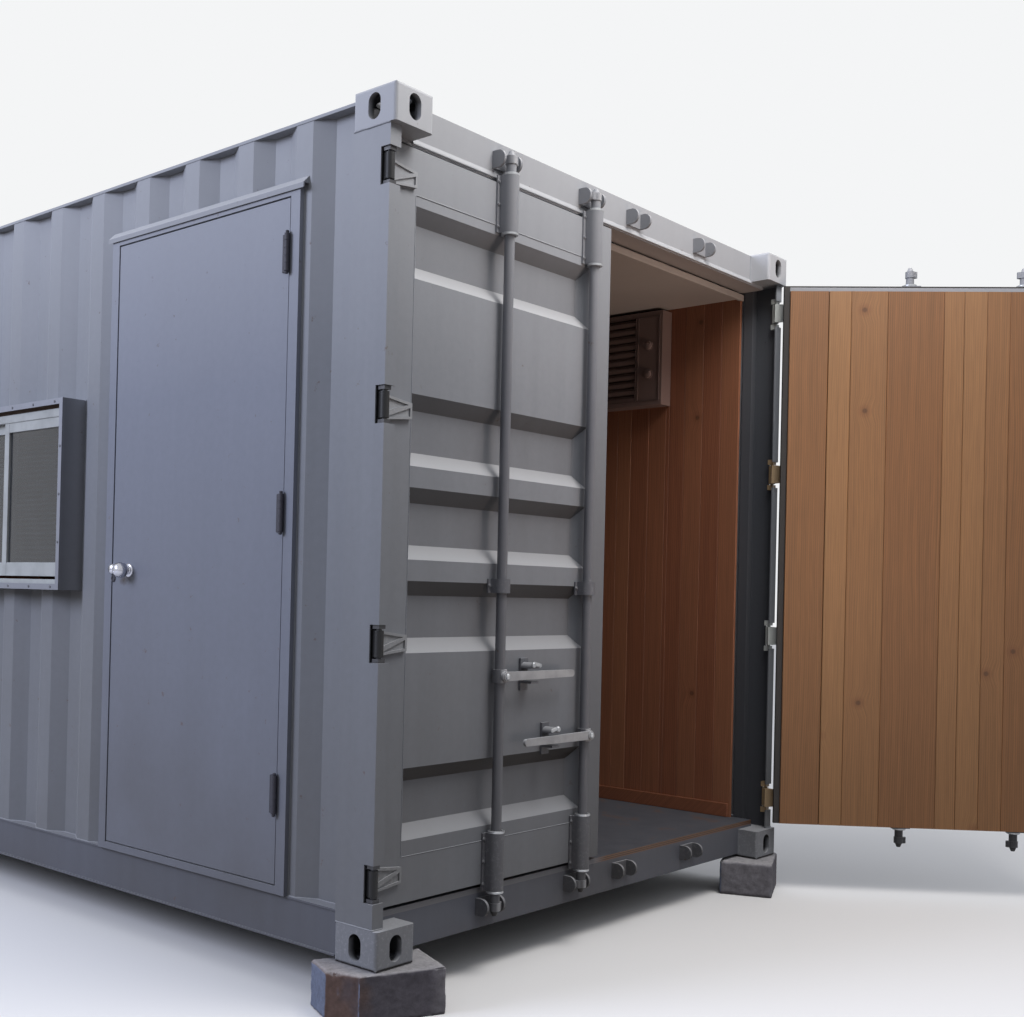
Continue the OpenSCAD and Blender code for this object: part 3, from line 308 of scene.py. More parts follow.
def grown(name, tree, body, slot, points, lines=(), faces=(), aims=(), **sizes):
    """What the tree makes of a few points, lines or faces, as a plain mesh."""
    seed = bpy.data.meshes.new(name)
    seed.from_pydata(points, lines, faces)
    if aims:
        held = seed.attributes.new("aim", "FLOAT_VECTOR", "POINT")
        held.data.foreach_set("vector", [c for aim in aims for c in aim])
    carrier = bpy.data.objects.new(name, seed)
    scene.collection.objects.link(carrier)
    grower = carrier.modifiers.new("growth", "NODES")
    grower.node_group = tree
    for socket in tree.interface.items_tree:
        label = socket.name.replace(" ", "_")
        if socket.in_out == "INPUT" and label in sizes:
            grower[socket.identifier] = sizes[label]
    shape = bpy.data.meshes.new_from_object(carrier.evaluated_get(bpy.context.evaluated_depsgraph_get()))
    carrier.modifiers.remove(grower)
    carrier.data = shape
    fitted(carrier, body)


def wave_x(y):
    """X of the left wall's outer side at Y."""
    u = (y - START) % PITCH_Y
    if u <= INNER:
        return SHEET_IN + DEEP
    if u <= INNER + RUN:
        return SHEET_IN + DEEP * (1 - (u - INNER) / RUN)
    if u <= INNER + RUN + OUTER:
        return SHEET_IN
    return SHEET_IN + DEEP * (u - INNER - RUN - OUTER) / RUN


def along_wall(start, stop, z):
    """Points that follow the left wall's outer side at one height."""
    bends = [START + n * PITCH_Y + k for n in range(-2, 24)
             for k in (0, INNER, INNER + RUN, INNER + RUN + OUTER)]
    run = [start] + [y for y in bends if start + 0.001 < y < stop - 0.001] + [stop]
    return [(wave_x(y), y, z) for y in run]


def up_wall(y, low, high):
    """A straight upright path on the left wall's outer side."""
    return [(wave_x(y), y, low), (wave_x(y), y, high)]


def across(points):
    """The same path on the right side."""
    return [(WIDE - x, y, z) for x, y, z in points]


weld_tree, node, given = growth("ripple weld", Bead_Radius="Float", Ripple="Float", Seed="Int",
                                Coat="Material")
path = node("GeometryNodeMeshToCurve", given["Geometry"])
even = node("GeometryNodeResampleCurve", path, Length=given["Ripple"], mode="LENGTH")
swell = node("FunctionNodeRandomValue FLOAT", 0.72, 1.18, Seed=given["Seed"])
ring = node("GeometryNodeCurvePrimitiveCircle", 6, given["Bead Radius"])
ended(node, node("GeometryNodeCurveToMesh", even, ring, swell, True), given["Coat"])

# the same grey, glossier on the rounds: reads as enamel over weld ripples
weld_enamel = enamel("grey alkyd enamel over weld beads", "#777c86", "#878b92", 0.36, 1.0, 0.2)


def welded(name, body, paths, radius, ripple, seed):
    """Beads along several paths, as one piece on one body."""
    points, lines = [], []
    for run in paths:
        lines += [(len(points) + i, len(points) + i + 1) for i in range(len(run) - 1)]
        points += [tuple(p) for p in run]
    grown(name, weld_tree, body, "shell_paint", points, lines, Bead_Radius=radius, Ripple=ripple,
          Seed=seed, Coat=weld_enamel)


edges = [along_wall(POST + 0.002, ENTRY[0], SEAT), along_wall(ENTRY[1], LONG - POST, SEAT),
         along_wall(ENTRY[0], ENTRY[1], ENTRY[2] + 0.003),
         across(along_wall(POST + 0.002, LONG - POST, SEAT))]
edges += [up_wall(y, SEAT, ENTRY[2]) for y in (ENTRY[0] - OFF, ENTRY[1] + OFF)]
edges += [along_wall(BOX[0], BOX[1], z) for z in (BOX[2] - OFF, BOX[3] + OFF)]
edges += [up_wall(y, BOX[2], BOX[3]) for y in BOX[:2]]
for z in (LIFT + CASTING[2] + OFF, LIFT + TALL - CASTING[2] - OFF):
    seam = [(0.046, 0.022, z), (0.003, 0.022, z), (0.003, POST - 0.004, z)]
    edges += [seam, across(seam)]
for low, high in ((LIFT + 0.014, LIFT + CASTING[2]), (LIFT + TALL - CASTING[2], LIFT + TALL - 0.008)):
    seam = [(CASTING[0] + OFF, CASTING[1] / 2, z) for z in (low, high)]
    edges += [seam, across(seam)]
welded("shell_welds", "shell", edges, 0.0032, 0.007, 4)

# Cargo doors
# Two leaves of square tube around a sheet with pressed recesses, hung on
# forged blades that turn on pins in the posts. Each leaf is drawn shut at the
# left; the right one is mirrored and turned open about its pin.
PIN_IN, PIN_BACK, OPEN = 0.022, 0.040, 127
PANEL = (0.172, 1.086, 0.440, 2.449, 0.0765)    # the sheet: X, Z from and to, and Y of its face
mirror_x, mirror_y, mirror_z = (Matrix.Scale(-1, 4, Vector([i == k for k in range(3)])) for i in range(3))
swung = (Matrix.Translation((WIDE - PIN_IN, PIN_BACK, 0)) @ Matrix.Rotation(math.radians(OPEN), 4, "Z")
         @ mirror_x @ Matrix.Translation((-PIN_IN, -PIN_BACK, 0)))
LEAVES = (("left", Matrix.Identity(4)), ("right", swung))
dress(sheet_enamel, "right_door_frame", "right_door_panel")


def shaded_troughs(node, at):
    """Up to 0.2 of painted shade in the recesses pressed into the shut door's sheet."""
    return node("MapRange", node("SeparateXYZ", at, out="Y"), 0.084, 0.113, 0.0, 0.2)


def handled_stile(node, at):
    """Up to 0.3 on the shut door's meeting stile, more towards the foot."""
    reach = node("MapRange", node("SeparateXYZ", at, out="Z"), 2.5, 1.4, 0.1, 0.3)
    return node("Math MULTIPLY", node("MapRange", node("SeparateXYZ", at, out="X"), 1.06, 1.10), reach)


# dark along the meeting edge: reads as a frame dirtied by hands and by the other leaf
dress(enamel("grey enamel on door channels", *FADE, 0.42, 1.0, hollow=handled_stile, shade="#2c2a2b"),
      "left_door_frame")
# painted shade in the pressed recesses, most where they are deepest: reads as deep pressings
dress(enamel("grey enamel on pressed sheet", *FADE, 0.42, 1.0, hollow=shaded_troughs, shade="#3a3432"),
      "left_door_panel")
for side, place in LEAVES:
    x0, x1, z0, z1, y = PANEL
    corners = [Vector((x, y, z)) for x, z in ((x0, z0), (x1, z0), (x1, z1), (x0, z1), (x0, z0))]
    welded(side + "_panel_welds", side + "_cargo_door", [[place @ p for p in corners]], 0.0018, 0.005, 9)

# Door gear
# Forged hinges, keepers, guides, catches and lock bars: thicker steel under
# the same spray, bolted or welded to the leaves.

# darker and rougher than the sheet: reads as forged steel that is handled
gear_enamel = enamel("grey alkyd enamel on forged steel", "#5e6067", "#6e7077", 0.4, 2.2, 0.2, "#8c8d91")
dress(gear_enamel, "cam_keepers", "left_door_guides", "right_door_guides", "right_lock_bar_outer",
      "right_lock_bar_inner")


def knuckles(node, at):
    """Nearly 1 round the pins of the shut door's hinges: grease, and painted shade in the post's slots."""
    return node("MapRange", node("SeparateXYZ", at, out="X"), 0.046, 0.039, 0.0, 0.97)


def hand_wear_and_highlight(node, at):
    """Up to 0.5 on the shut door's handles, the only things in front of its bars: wear to bright steel, and a
    painted highlight.
    """
    front = node("MapRange", node("SeparateXYZ", at, out="Y"), 0.0315, 0.027, 0.0, 0.5)
    rub = node("MapRange", node("TexNoise", at, 22.0, 3.0), 0.35, 0.65, 0.7, 1.0)
    return node("Math MULTIPLY", front, rub)


# hinge blades: paler than the door, black at the pins with grease and painted shade in the post's slots
dress(enamel("grey alkyd enamel on hinge blades", "#86898d", "#9d9fa3", 0.4, 2.2, 0.2, "#b4b5b7",
             knuckles, "#121214"), "left_door_hinges")
# lock bars: the same spray, worn to bright steel on the handles and brightened there as a painted highlight
dress(enamel("grey alkyd enamel worn at the handles", "#5e6067", "#6e7077", 0.4, 2.2, 0.2,
             hollow=hand_wear_and_highlight, shade="#d2d3d5"), "left_lock_bar_outer", "left_lock_bar_inner")

# Bushes
# Turned rings of zinc plated steel, pressed into the ends of the long guides
# so that the bars turn without wearing the spray away.
BARS = (0.590, 1.068)
BAR_Y = 0.048
GUIDES = ((0.278, 0.465), (2.424, 2.611))
MID_GUIDE = (1.247, 1.293)
BUSH = ((0.0200, 0.0), (0.0275, 0.0), (0.0285, 0.001), (0.0285, 0.007), (0.0262, 0.0085),
        (0.0208, 0.0085), (0.0200, 0.0077))

# dull silver, finely scratched round by turning: reads as plated steel
bright_zinc, node, shader = finish("zinc plated turned steel")
at = node("TexCoord", out="Object")
cuts = node("TexNoise", node("Mapping", at, Scale=(60.0, 60.0, 1400.0)), 1.0, 2.0)
stain = node("TexNoise", at, 45.0, 5.0)
feed(shader, Base_Color=node("Mix RGBA", stain, "#8b8e92", "#cdcfd1"), Metallic=0.7,
     Roughness=node("MapRange", stain, 0.3, 0.7, 0.28, 0.5),
     Normal=node("Bump", Height=cuts, Strength=0.3, Distance=0.0003))


def turned(sink, place, profile, sides=32):
    """Adds a shape of revolution to a bmesh; the profile is a closed loop, or
    runs from axis to axis, of (radius, height), round the place's Z."""
    rounds = []
    for r, h in profile:
        turns = [i * math.tau / sides for i in range(sides)] if r > 1e-6 else [0]
        rounds.append([sink.verts.new(place @ Vector((r * math.cos(a), r * math.sin(a), h))) for a in turns])
    if len(rounds[0]) > 1:
        rounds.append(rounds[0])
    for low, high in zip(rounds, rounds[1:]):
        for i in range(sides):
            j = (i + 1) % sides
            ends = [low[i % len(low)], low[j % len(low)], high[j % len(high)], high[i % len(high)]]
            sink.faces.new(list(dict.fromkeys(ends))).smooth = True


def made_piece(name, sink, material, body, smooth_under=None, stands_for=None):
    """Closes a bmesh into a piece that rides on a body."""
    bmesh.ops.recalc_face_normals(sink, faces=sink.faces)
    mesh = bpy.data.meshes.new(name)
    sink.to_mesh(mesh)
    sink.free()
    mesh.materials.append(material)
    if smooth_under:
        mesh.shade_smooth()
        mesh.set_sharp_from_angle(angle=math.radians(smooth_under))
    piece = bpy.data.objects.new(name, mesh)
    scene.collection.objects.link(piece)
    fitted(piece, body, stands_for)


for side, place in LEAVES:
    sink = bmesh.new()
    for x in BARS:
        for low, high in GUIDES:
            turned(sink, place @ Matrix.Translation((x, BAR_Y, high)), BUSH)
            turned(sink, place @ Matrix.Translation((x, BAR_Y, low)) @ mirror_z, BUSH)
    made_piece(side + "_guide_bushes", sink, bright_zinc, side + "_cargo_door", 35)

# Hinge pins and lugs
# Forged steel, never painted well: dark with grease at the left; on the open
# right side pale and tan on alternate hinges, as painted highlights.
HINGE_TOP, HINGE_STEP = 2.49, 0.70

# greasy black against pale and tan painted highlights: reads as hinges that are worked
greased, node, shader = finish("greased steel with painted highlights")
at = node("TexCoord", out="Object")
smear = node("TexNoise", at, 80.0, 6.0)
above_top = node("Math SUBTRACT", HINGE_TOP, node("SeparateXYZ", at, out="Z"))
second = node("MapRange", node("Math PINGPONG", above_top, HINGE_STEP), 0.1, 0.6)
# pale and tan painted highlights on the open side's hinges, in turn
highlit_open_side = node("MapRange", node("SeparateXYZ", at, out="X"), 1.2, 1.3, 0.0, 0.9)
feed(shader, Base_Color=node("Mix RGBA", highlit_open_side, node("Mix RGBA", smear, "#1f1f22", "#3b3b40"),
                             node("Mix RGBA", second, "#c4c8c4", "#a38a68")),
     Roughness=node("MapRange", smear, 0.3, 0.7, 0.34, 0.6))
dress(greased, "hinge_lugs", "right_door_hinges")

# Door handles
# A domed pivot bolt through each handle's eye, and a zinc plated pawl on each
# catch that drops over the handle; all four turn on rivets.
BOLT = ((0.0, -0.0005), (0.0105, -0.0005), (0.0108, 0.003), (0.0088, 0.0062), (0.0045, 0.0078),
        (0.0, 0.0080))
PAWL_BOSS = ((0.0, -0.001), (0.0095, -0.001), (0.0098, 0.004), (0.0075, 0.0072), (0.0, 0.0080))
PAWL_ARM, PAWL_LEAN = (0.046, 0.006, 0.013, 1), 12
HANDLES = (("outer", 0.976, 0.155), ("inner", 0.752, -0.198))    # height, and where its catch stands off
facing_out = Matrix.Rotation(math.radians(90), 4, "X")
for side, place in LEAVES:
    pawls = bmesh.new()
    for x, (which, z, catch_off) in zip(BARS, HANDLES):
        sink = bmesh.new()
        turned(sink, place @ Matrix.Translation((x, 0.014, z)) @ facing_out, BOLT)
        made_piece(side + "_" + which + "_pivot_bolt", sink, bright_zinc, side + "_" + which + "_bar",
                   40)
        lean = 1 if catch_off > 0 else -1
        rivet = Matrix.Translation((x + catch_off - lean * 0.009, 0.0230, z + 0.034))
        turned(pawls, place @ rivet @ facing_out, PAWL_BOSS)
        arm = bmesh.new()
        bmesh.ops.create_cube(arm, size=1.0, matrix=Matrix.Diagonal(PAWL_ARM))
        bmesh.ops.bevel(arm, geom=arm.edges[:], offset=0.0024, segments=3, affect="EDGES")
        hung = Matrix.Translation((x + catch_off + lean * 0.009, 0.0205, z + 0.0345))
        turn = Matrix.Rotation(math.radians(lean * PAWL_LEAN), 4, "Y")
        bmesh.ops.transform(arm, verts=arm.verts, matrix=place @ hung @ turn)
        lump = bpy.data.meshes.new("pawl_arm")
        arm.to_mesh(lump)
        arm.free()
        pawls.from_mesh(lump)
    made_piece(side + "_catch_pawls", pawls, bright_zinc, side + "_cargo_door", 35)

# Hexagon bolts
# M10 heads on washers, painted over, that hold the guides' foot plates to the
# leaves; the same tree with more sides makes screw heads.
FOOT_OUT, FOOT_FACE, MID_FACE = 0.034, 0.070, 0.071
bolt_tree, node, given = growth("hexagon bolts", Head_Radius="Float", Head_Height="Float", Sides="Int",
                                Coat="Material")
aim = node("GeometryNodeInputNamedAttribute FLOAT_VECTOR", "aim")
turn = node("FunctionNodeAlignRotationToVector", Vector=aim, axis="Z")
radius, tall = given["Head Radius"], given["Head Height"]
head = node("GeometryNodeMeshCone", given["Sides"], Radius_Top=node("Math MULTIPLY", radius, 0.86),
            Radius_Bottom=radius, Depth=tall)
washer_r = node("Math MULTIPLY", radius, 1.45)
washer = node("GeometryNodeMeshCone", 20, Radius_Top=node("Math MULTIPLY", washer_r, 0.92),
              Radius_Bottom=washer_r, Depth=node("Math MULTIPLY", tall, 0.5))
both = node("GeometryNodeJoinGeometry", [head, washer])
set_out = node("GeometryNodeInstanceOnPoints", given["Geometry"], Instance=both, Rotation=turn)
ended(node, set_out, given["Coat"])


def bolted(name, body, slot, spots, aim, radius, height, sides, coat):
    """Bolt or screw heads at the spots, all looking one way."""
    grown(name, bolt_tree, body, slot, [tuple(s) for s in spots], aims=[tuple(aim)] * len(spots),
          Head_Radius=radius, Head_Height=height, Sides=sides, Coat=coat)


for side, place in LEAVES:
    spots = []
    for x in BARS:
        for low, high in GUIDES:
            spots += [Vector((x + s * FOOT_OUT, FOOT_FACE, z)) for s in (-1, 1)
                      for z in (low + 0.02, (low + high) / 2, high - 0.02)]
        spots += [Vector((x + s * FOOT_OUT, MID_FACE, sum(MID_GUIDE) / 2)) for s in (-1, 1)]
    aim = (place.to_3x3() @ Vector((0, -1, 0))).normalized()
    bolted(side + "_guide_bolts", side + "_cargo_door", "gear_paint", [place @ s for s in spots], aim,
           0.0048, 0.0042, 6, gear_enamel)

# Gaskets
# Hollow EPDM lips clamped round each leaf, black, with the outer face greyed
# by overspray where the doors were painted shut.
open_way = (math.sin(math.radians(OPEN)), -math.cos(math.radians(OPEN)), 0)
for side, outward in (("left", (0, -1, 0)), ("right", open_way)):
    # matt black, dusty grey on the outside: reads as weathered rubber
    rubber, node, shader = finish(side + " EPDM door gasket")
    at = node("TexCoord", out="Object")
    lean = node("VectorMath DOT_PRODUCT", node("TexCoord", out="Normal"), outward)
    cloud = node("TexNoise", at, 22.0, 6.0)
    share = node("Math MULTIPLY", node("MapRange", lean, 0.2, 0.9), node("MapRange", cloud, 0.35, 0.6, 0.45))
    black = node("Mix RGBA", cloud, "#171311", "#272220")
    feed(shader, Base_Color=node("Mix RGBA", share, black, "#332d2a"), Roughness=0.62,
         Normal=node("Bump", Height=node("TexNoise", at, 340.0, 3.0), Strength=0.4, Distance=0.0005))
    dress(rubber, side + "_door_gasket")

# Cedar boards inside
# Tongued and grooved boards of western red cedar, 12 mm thick with eased
# edges, oiled once and nailed upright on battens: on both long walls, on the
# far wall and on the inside of both cargo doors.
BOARD_T, EASE, JOINT, TONGUE = 0.012, 0.0011, 0.0006, 0.005
FLOOR_Z, CEIL_Z = 0.286, 2.570
LINING_L, LINING_R, LINING_END = 0.060, WIDE - 0.060, LONG - 0.066
UNIT = (0.535, 1.175, 2.125, 2.555)     # the wall unit: Y from and to, Z from and to
KNOTS = ((0.380, 2.504), (0.389, 2.073), (0.386, 0.829), (0.912, 0.967), (1.021, 1.063))
CELLS = 3.2                             # cells in a metre, of which a few hold a knot


def cedar_finish(name, late, early, palest):
    """Oiled cedar: warm, silky, with long straight grain and a few knots."""
    made, node, shader = finish(name)
    flat = node("UVMap", uv_map="grain")
    tone = node("Attribute", attribute_name="tone", attribute_type="GEOMETRY", out="Fac")
    x_run, z_run = (node("SeparateXYZ", flat, out=axis) for axis in "XY")
    layer = node("Math MULTIPLY", tone, 97.0)
    spot = node("CombineXYZ", x_run, z_run, layer)
    bend = node("TexNoise", node("Mapping", spot, Scale=(5.0, 0.8, 1.0)), 1.0, 2.0)
    cell_pick = node("SeparateColor", node("TexVoronoi", spot, CELLS, out="Color"))
    rare_far = node("Math SUBTRACT", 1.0, node("Math GREATER_THAN", cell_pick, 0.72))
    near = node("Math ADD", node("Math MULTIPLY", node("TexVoronoi", spot, CELLS), 1 / CELLS), rare_far)
    for x, z in KNOTS:
        near = node("Math MINIMUM", near, node("VectorMath DISTANCE", flat, (x, z, 0)))
    push = node("MapRange", near, 0.07, 0.0, 0.0, 0.022)
    moved = node("Math ADD", node("Math ADD", x_run, node("Math MULTIPLY", bend, 0.05)), push)
    bent = node("CombineXYZ", moved, z_run, layer)
    # growth rings about 9 mm apart where a flat sawn board cuts them, fibres 2 mm
    contour = node("Mapping", bent, Scale=(1.0, 0.03, 1.0))
    ring = node("TexWave", contour, 34.0, 1.6, 2.0, bands_direction="X", out="Fac")
    streak = node("TexNoise", node("Mapping", bent, Scale=(95.0, 1.1, 1.0)), 1.0, 4.0, 0.6)
    fibre = node("TexNoise", node("Mapping", bent, Scale=(480.0, 7.0, 1.0)), 1.0, 2.0)
    share = node("Math MULTIPLY_ADD", streak, 0.85, node("Math MULTIPLY", ring, 0.30))
    wood = node("Mix RGBA", node("MapRange", share, 0.28, 0.85), late, early)
    wood = node("Mix RGBA", node("Math MULTIPLY", tone, 0.62), wood, palest)
    wood = node("VectorMath SCALE", wood, node("MapRange", fibre, 0.3, 0.7, 0.86, 1.12))
    wood = node("Mix RGBA", node("MapRange", near, 0.034, 0.010, 0.0, 0.4), wood, "#6b3f27")
    wood = node("Mix RGBA", node("MapRange", near, 0.013, 0.007, 0.0, 0.6), wood, "#3d2718")
    feed(shader, Base_Color=wood, Roughness=node("MapRange", streak, 0.3, 0.7, 0.62, 0.48),
         Normal=node("Bump", Height=fibre, Strength=0.35, Distance=0.0006))
    return made


# the same cedar twice: inside, darker and redder as painted shade for the dim warm light there;
# the doors' copy is paler and more golden
cedar = cedar_finish("oiled western red cedar", "#5c3020", "#824c34", "#9a6a4c")
door_cedar = cedar_finish("weathered western red cedar", "#5c3920", "#825531", "#aa8259")


def prism(sink, lower, upper):
    """Closes two rings of vertices into a solid and gives back its faces."""
    n = len(lower)
    faces = [sink.faces.new([lower[i], lower[(i + 1) % n], upper[(i + 1) % n], upper[i]]) for i in range(n)]
    return faces + [sink.faces.new(lower[::-1]), sink.faces.new(upper)]


def boarded(name, body, stands_for, place, spans, seams, tones, seed, wood=cedar):
    """Upright boards between the seams, cut to the spans (across and height,
    from and to); place takes (across, out, height) to the object."""
    dice = random.Random(seed)
    sink = bmesh.new()
    grain = sink.loops.layers.uv.new("grain")
    shade = sink.verts.layers.float.new("tone")
    for n, (a, b) in enumerate(zip(seams, seams[1:])):
        value = tones[n] if n < len(tones) else dice.random()
        proud = BOARD_T + dice.uniform(-0.0006, 0.0006)
        for a0, a1, z0, z1 in spans:
            back_l, back_r = max(a, a0), min(b, a1)          # tongues that close the joints behind
            left, right_side = back_l + JOINT, back_r - JOINT
            if right_side - left < 0.006:
                continue
            ease = min(EASE, (right_side - left) / 3)
            form = ((back_l, 0), (back_r, 0), (back_r, TONGUE), (right_side, TONGUE),
                    (right_side, proud - ease), (right_side - ease, proud), (left + ease, proud),
                    (left, proud - ease), (left, TONGUE), (back_l, TONGUE))
            rounds = [[sink.verts.new((u, out, z)) for u, out in form] for z in (z0, z1)]
            for v in rounds[0] + rounds[1]:
                v[shade] = value
            for face in prism(sink, *rounds):
                for loop in face.loops:
                    loop[grain].uv = (loop.vert.co.x, loop.vert.co.z + loop.vert.co.y)
    bmesh.ops.transform(sink, matrix=place, verts=sink.verts)
    made_piece(name, sink, wood, body, stands_for=stands_for)


def seams_between(start, stop, seed):
    """Board seams from start to stop, each board 75 to 98 mm wide."""
    dice = random.Random(seed)
    at = [start]
    while at[-1] < stop - 0.001:
        at.append(min(stop, at[-1] + dice.uniform(0.075, 0.098)))
    if at[-1] - at[-2] < 0.03:
        del at[-2]
    return at


def axes(origin, along, out):
    """A place from its origin, its run across and its way out, height up."""
    return Matrix.Translation(origin) @ Matrix((along, out, (0, 0, 1))).transposed().to_4x4()


wall_from, wall_to = 0.182, LINING_END - 0.004
boarded("cedar_left_wall", "shell", "left_lining", axes((LINING_L, 0, 0), (0, 1, 0), (1, 0, 0)),
        [(wall_from, 0.396, FLOOR_Z, CEIL_Z), (ENTRY[0], ENTRY[1], ENTRY[2] + 0.004, CEIL_Z),
         (ENTRY[1] + 0.004, BOX[0], FLOOR_Z, CEIL_Z), (BOX[1], wall_to, FLOOR_Z, CEIL_Z),
         (BOX[0], BOX[1], FLOOR_Z, BOX[2]), (BOX[0], BOX[1], BOX[3], CEIL_Z)],
        seams_between(wall_from, wall_to, 3), (), 11)
boarded("cedar_right_wall", "shell", "right_lining", axes((LINING_R, 0, 0), (0, 1, 0), (-1, 0, 0)),
        [(wall_from, UNIT[0], FLOOR_Z, CEIL_Z), (UNIT[1], wall_to, FLOOR_Z, CEIL_Z),
         (UNIT[0], UNIT[1], FLOOR_Z, UNIT[2]), (UNIT[0], UNIT[1], UNIT[3], CEIL_Z)],
        seams_between(wall_from, wall_to, 5), (0.75, 0.35, 0.6, 0.3, 0.5), 12)
boarded("cedar_far_wall", "shell", "far_lining", axes((0, LINING_END, 0), (1, 0, 0), (0, -1, 0)),
        [(LINING_L, LINING_R, FLOOR_Z, CEIL_Z)], seams_between(LINING_L, LINING_R, 7), (), 13)
DOOR_WOOD = (0.068, 1.190, 0.292, 2.571)
DOOR_SEAMS = (0.068, 0.2300, 0.2318, 0.325, 0.478, 0.712, 0.795, 0.889, 0.984, 1.088, 1.190)    # one gapes
DOOR_TONES = (0.36, 0.5, 0.85, 0.58, 0.28, 0.66, 0.74, 0.48, 0.30, 0.40)
for side, place in LEAVES:
    boarded("cedar_" + side + "_door", side + "_cargo_door", side + "_door_lining",
            place @ Matrix.Translation((0, 0.126, 0)), [DOOR_WOOD], DOOR_SEAMS, DOOR_TONES, 14, door_cedar)

# Ceiling and floor
# Ceiling: 9 mm sheets of painted plywood, butted every 1.2 m, behind a painted
# strip at the door end. Floor: 28 mm apitong plywood, its top worn blue grey
# by an old floor paint and its laminated edge showing at the sill.

# chalky, a little warm, with thin dark joints: reads as a painted ceiling
board_paint, node, shader = finish("flat oil paint on ceiling plywood")
at = node("TexCoord", out="Object")
sheet = node("Math PINGPONG", node("SeparateXYZ", at, out="Y"), 0.6)
tint = node("Mix RGBA", node("TexNoise", at, 2.2, 5.0), "#a39891", "#b8ada6")
joint = node("MapRange", sheet, 0.004, 0.0015, 0.0, 0.8)
feed(shader, Base_Color=node("Mix RGBA", joint, tint, "#6a5a50"), Roughness=0.6,
     Normal=node("Bump", Height=node("TexNoise", at, 260.0, 2.0), Strength=0.3, Distance=0.0005))
dress(board_paint, "ceiling")

# plies 3.5 mm thick show as stripes on the edge, drawn coarser than the real 2 mm
PLY = 0.0035
ply, node, shader = finish("worn floor paint on apitong plywood")
at = node("TexCoord", out="Object")
scuff = node("TexNoise", at, 9.0, 8.0, 0.65)
paint = node("Mix RGBA", scuff, "#33373e", "#585b61")
paint = node("Mix RGBA", node("MapRange", scuff, 0.56, 0.66, 0.0, 0.7), paint, "#5b4334")
stripe = node("Math PINGPONG", node("SeparateXYZ", at, out="Z"), PLY)
edge = node("Mix RGBA", node("MapRange", stripe, 0.0008, 0.0027), "#3b2a20", "#6a4c37")
# under the left door the edge was sprayed with the shell's grey
left_side = node("MapRange", node("SeparateXYZ", at, out="X"), 1.28, 1.20, 0.0, 0.85)
edge = node("Mix RGBA", left_side, edge, "#6b6d72")
top_side = node("MapRange", node("SeparateXYZ", node("TexCoord", out="Normal"), out="Z"), 0.4, 0.6)
feed(shader, Base_Color=node("Mix RGBA", top_side, edge, paint), Roughness=0.55,
     Normal=node("Bump", Height=scuff, Strength=0.4, Distance=0.0012))
dress(ply, "floor_boards")


def box_in(sink, low, high):
    """Adds a box between its lowest and highest corners to a bmesh."""
    made = bmesh.ops.create_cube(sink, size=1.0)["verts"]
    for v in made:
        v.co = Vector([l + (h - l) * (c + 0.5) for l, h, c in zip(low, high, v.co)])
    return made


def eased(name, boxes, ease, material, stands_for=None, tone=None):
    """Several boxes on the shell, with their edges rounded; cedar has a tone."""
    sink = bmesh.new()
    for low, high in boxes:
        box_in(sink, low, high)
    bmesh.ops.bevel(sink, geom=sink.edges[:], offset=ease, segments=2, profile=0.6, affect="EDGES")
    if tone is not None:
        shade = sink.verts.layers.float.new("tone")
        grain = sink.loops.layers.uv.new("grain")
        for v in sink.verts:
            v[shade] = tone
        for face in sink.faces:
            for loop in face.loops:
                loop[grain].uv = (loop.vert.co.y + loop.vert.co.z, loop.vert.co.x)
    made_piece(name, sink, material, "shell", stands_for=stands_for)


eased("ceiling_front_strip", [((0.052, 0.178, 2.562), (WIDE - 0.052, 0.192, 2.590))], 0.003,
      board_paint)
skirt_foot, skirt_top, skirt_end = FLOOR_Z, FLOOR_Z + 0.06, 5.97
eased("skirting_strips",
      [((LINING_L + 0.013, ENTRY[1] + 0.01, skirt_foot), (LINING_L + 0.025, skirt_end, skirt_top)),
       ((LINING_R - 0.025, 0.19, skirt_foot), (LINING_R - 0.013, skirt_end, skirt_top))],
      0.003, cedar, tone=0.35)

# Entry door
# A flush door of folded steel sheet in a pressed steel frame, sprayed with
# the container. It hangs on three loose-pin butt hinges outside and has a
# turned knob; a latch guard laps the frame beside it.
LEAF_X, LEAF_SIDE = -0.006, 1.378
HINGE_AT, HINGE_H, HINGE_XY = (0.603, 1.481, 2.295), 0.120, (-0.018, 0.4455)
# the middle of the knob's stain and painted shadow
KNOB_STAIN_AND_SHADOW = (0.0, 1.304, 1.264)        # middle of the dirt below the knob
KNOB = ((0.0, -0.001), (0.025, -0.001), (0.025, 0.002), (0.023, 0.005), (0.0165, 0.0065), (0.0150, 0.009),
        (0.0160, 0.012), (0.0215, 0.017), (0.0260, 0.024), (0.0278, 0.032), (0.0272, 0.041),
        (0.0240, 0.050), (0.0185, 0.0565), (0.0130, 0.0600), (0.0085, 0.0610), (0.0080, 0.0595),
        (0.0, 0.0595))
GUARD = ((0.0, -0.0005), (0.019, -0.0005), (0.0195, 0.004), (0.0175, 0.009), (0.0120, 0.0135), (0.0, 0.0155))
ROSE = ((0.0, -0.0005), (0.0125, -0.0005), (0.0130, 0.002), (0.0110, 0.004), (0.0075, 0.0042),
        (0.0060, 0.0018), (0.0, 0.0016))


def knob_stain_and_shadow(node, at):
    """Up to 0.85 on the dirt and rust below the knob and on the painted shadow just under it, 0 elsewhere."""
    off = node("VectorMath SUBTRACT", at, KNOB_STAIN_AND_SHADOW)
    far = node("VectorMath LENGTH", node("VectorMath MULTIPLY", off, (0.0, 25.0, 42.0)))
    far = node("Math MULTIPLY_ADD", node("TexNoise", at, 70.0, 5.0), 0.7, far)
    return node("MapRange", far, 0.5, 1.35, 0.85, 0.0)


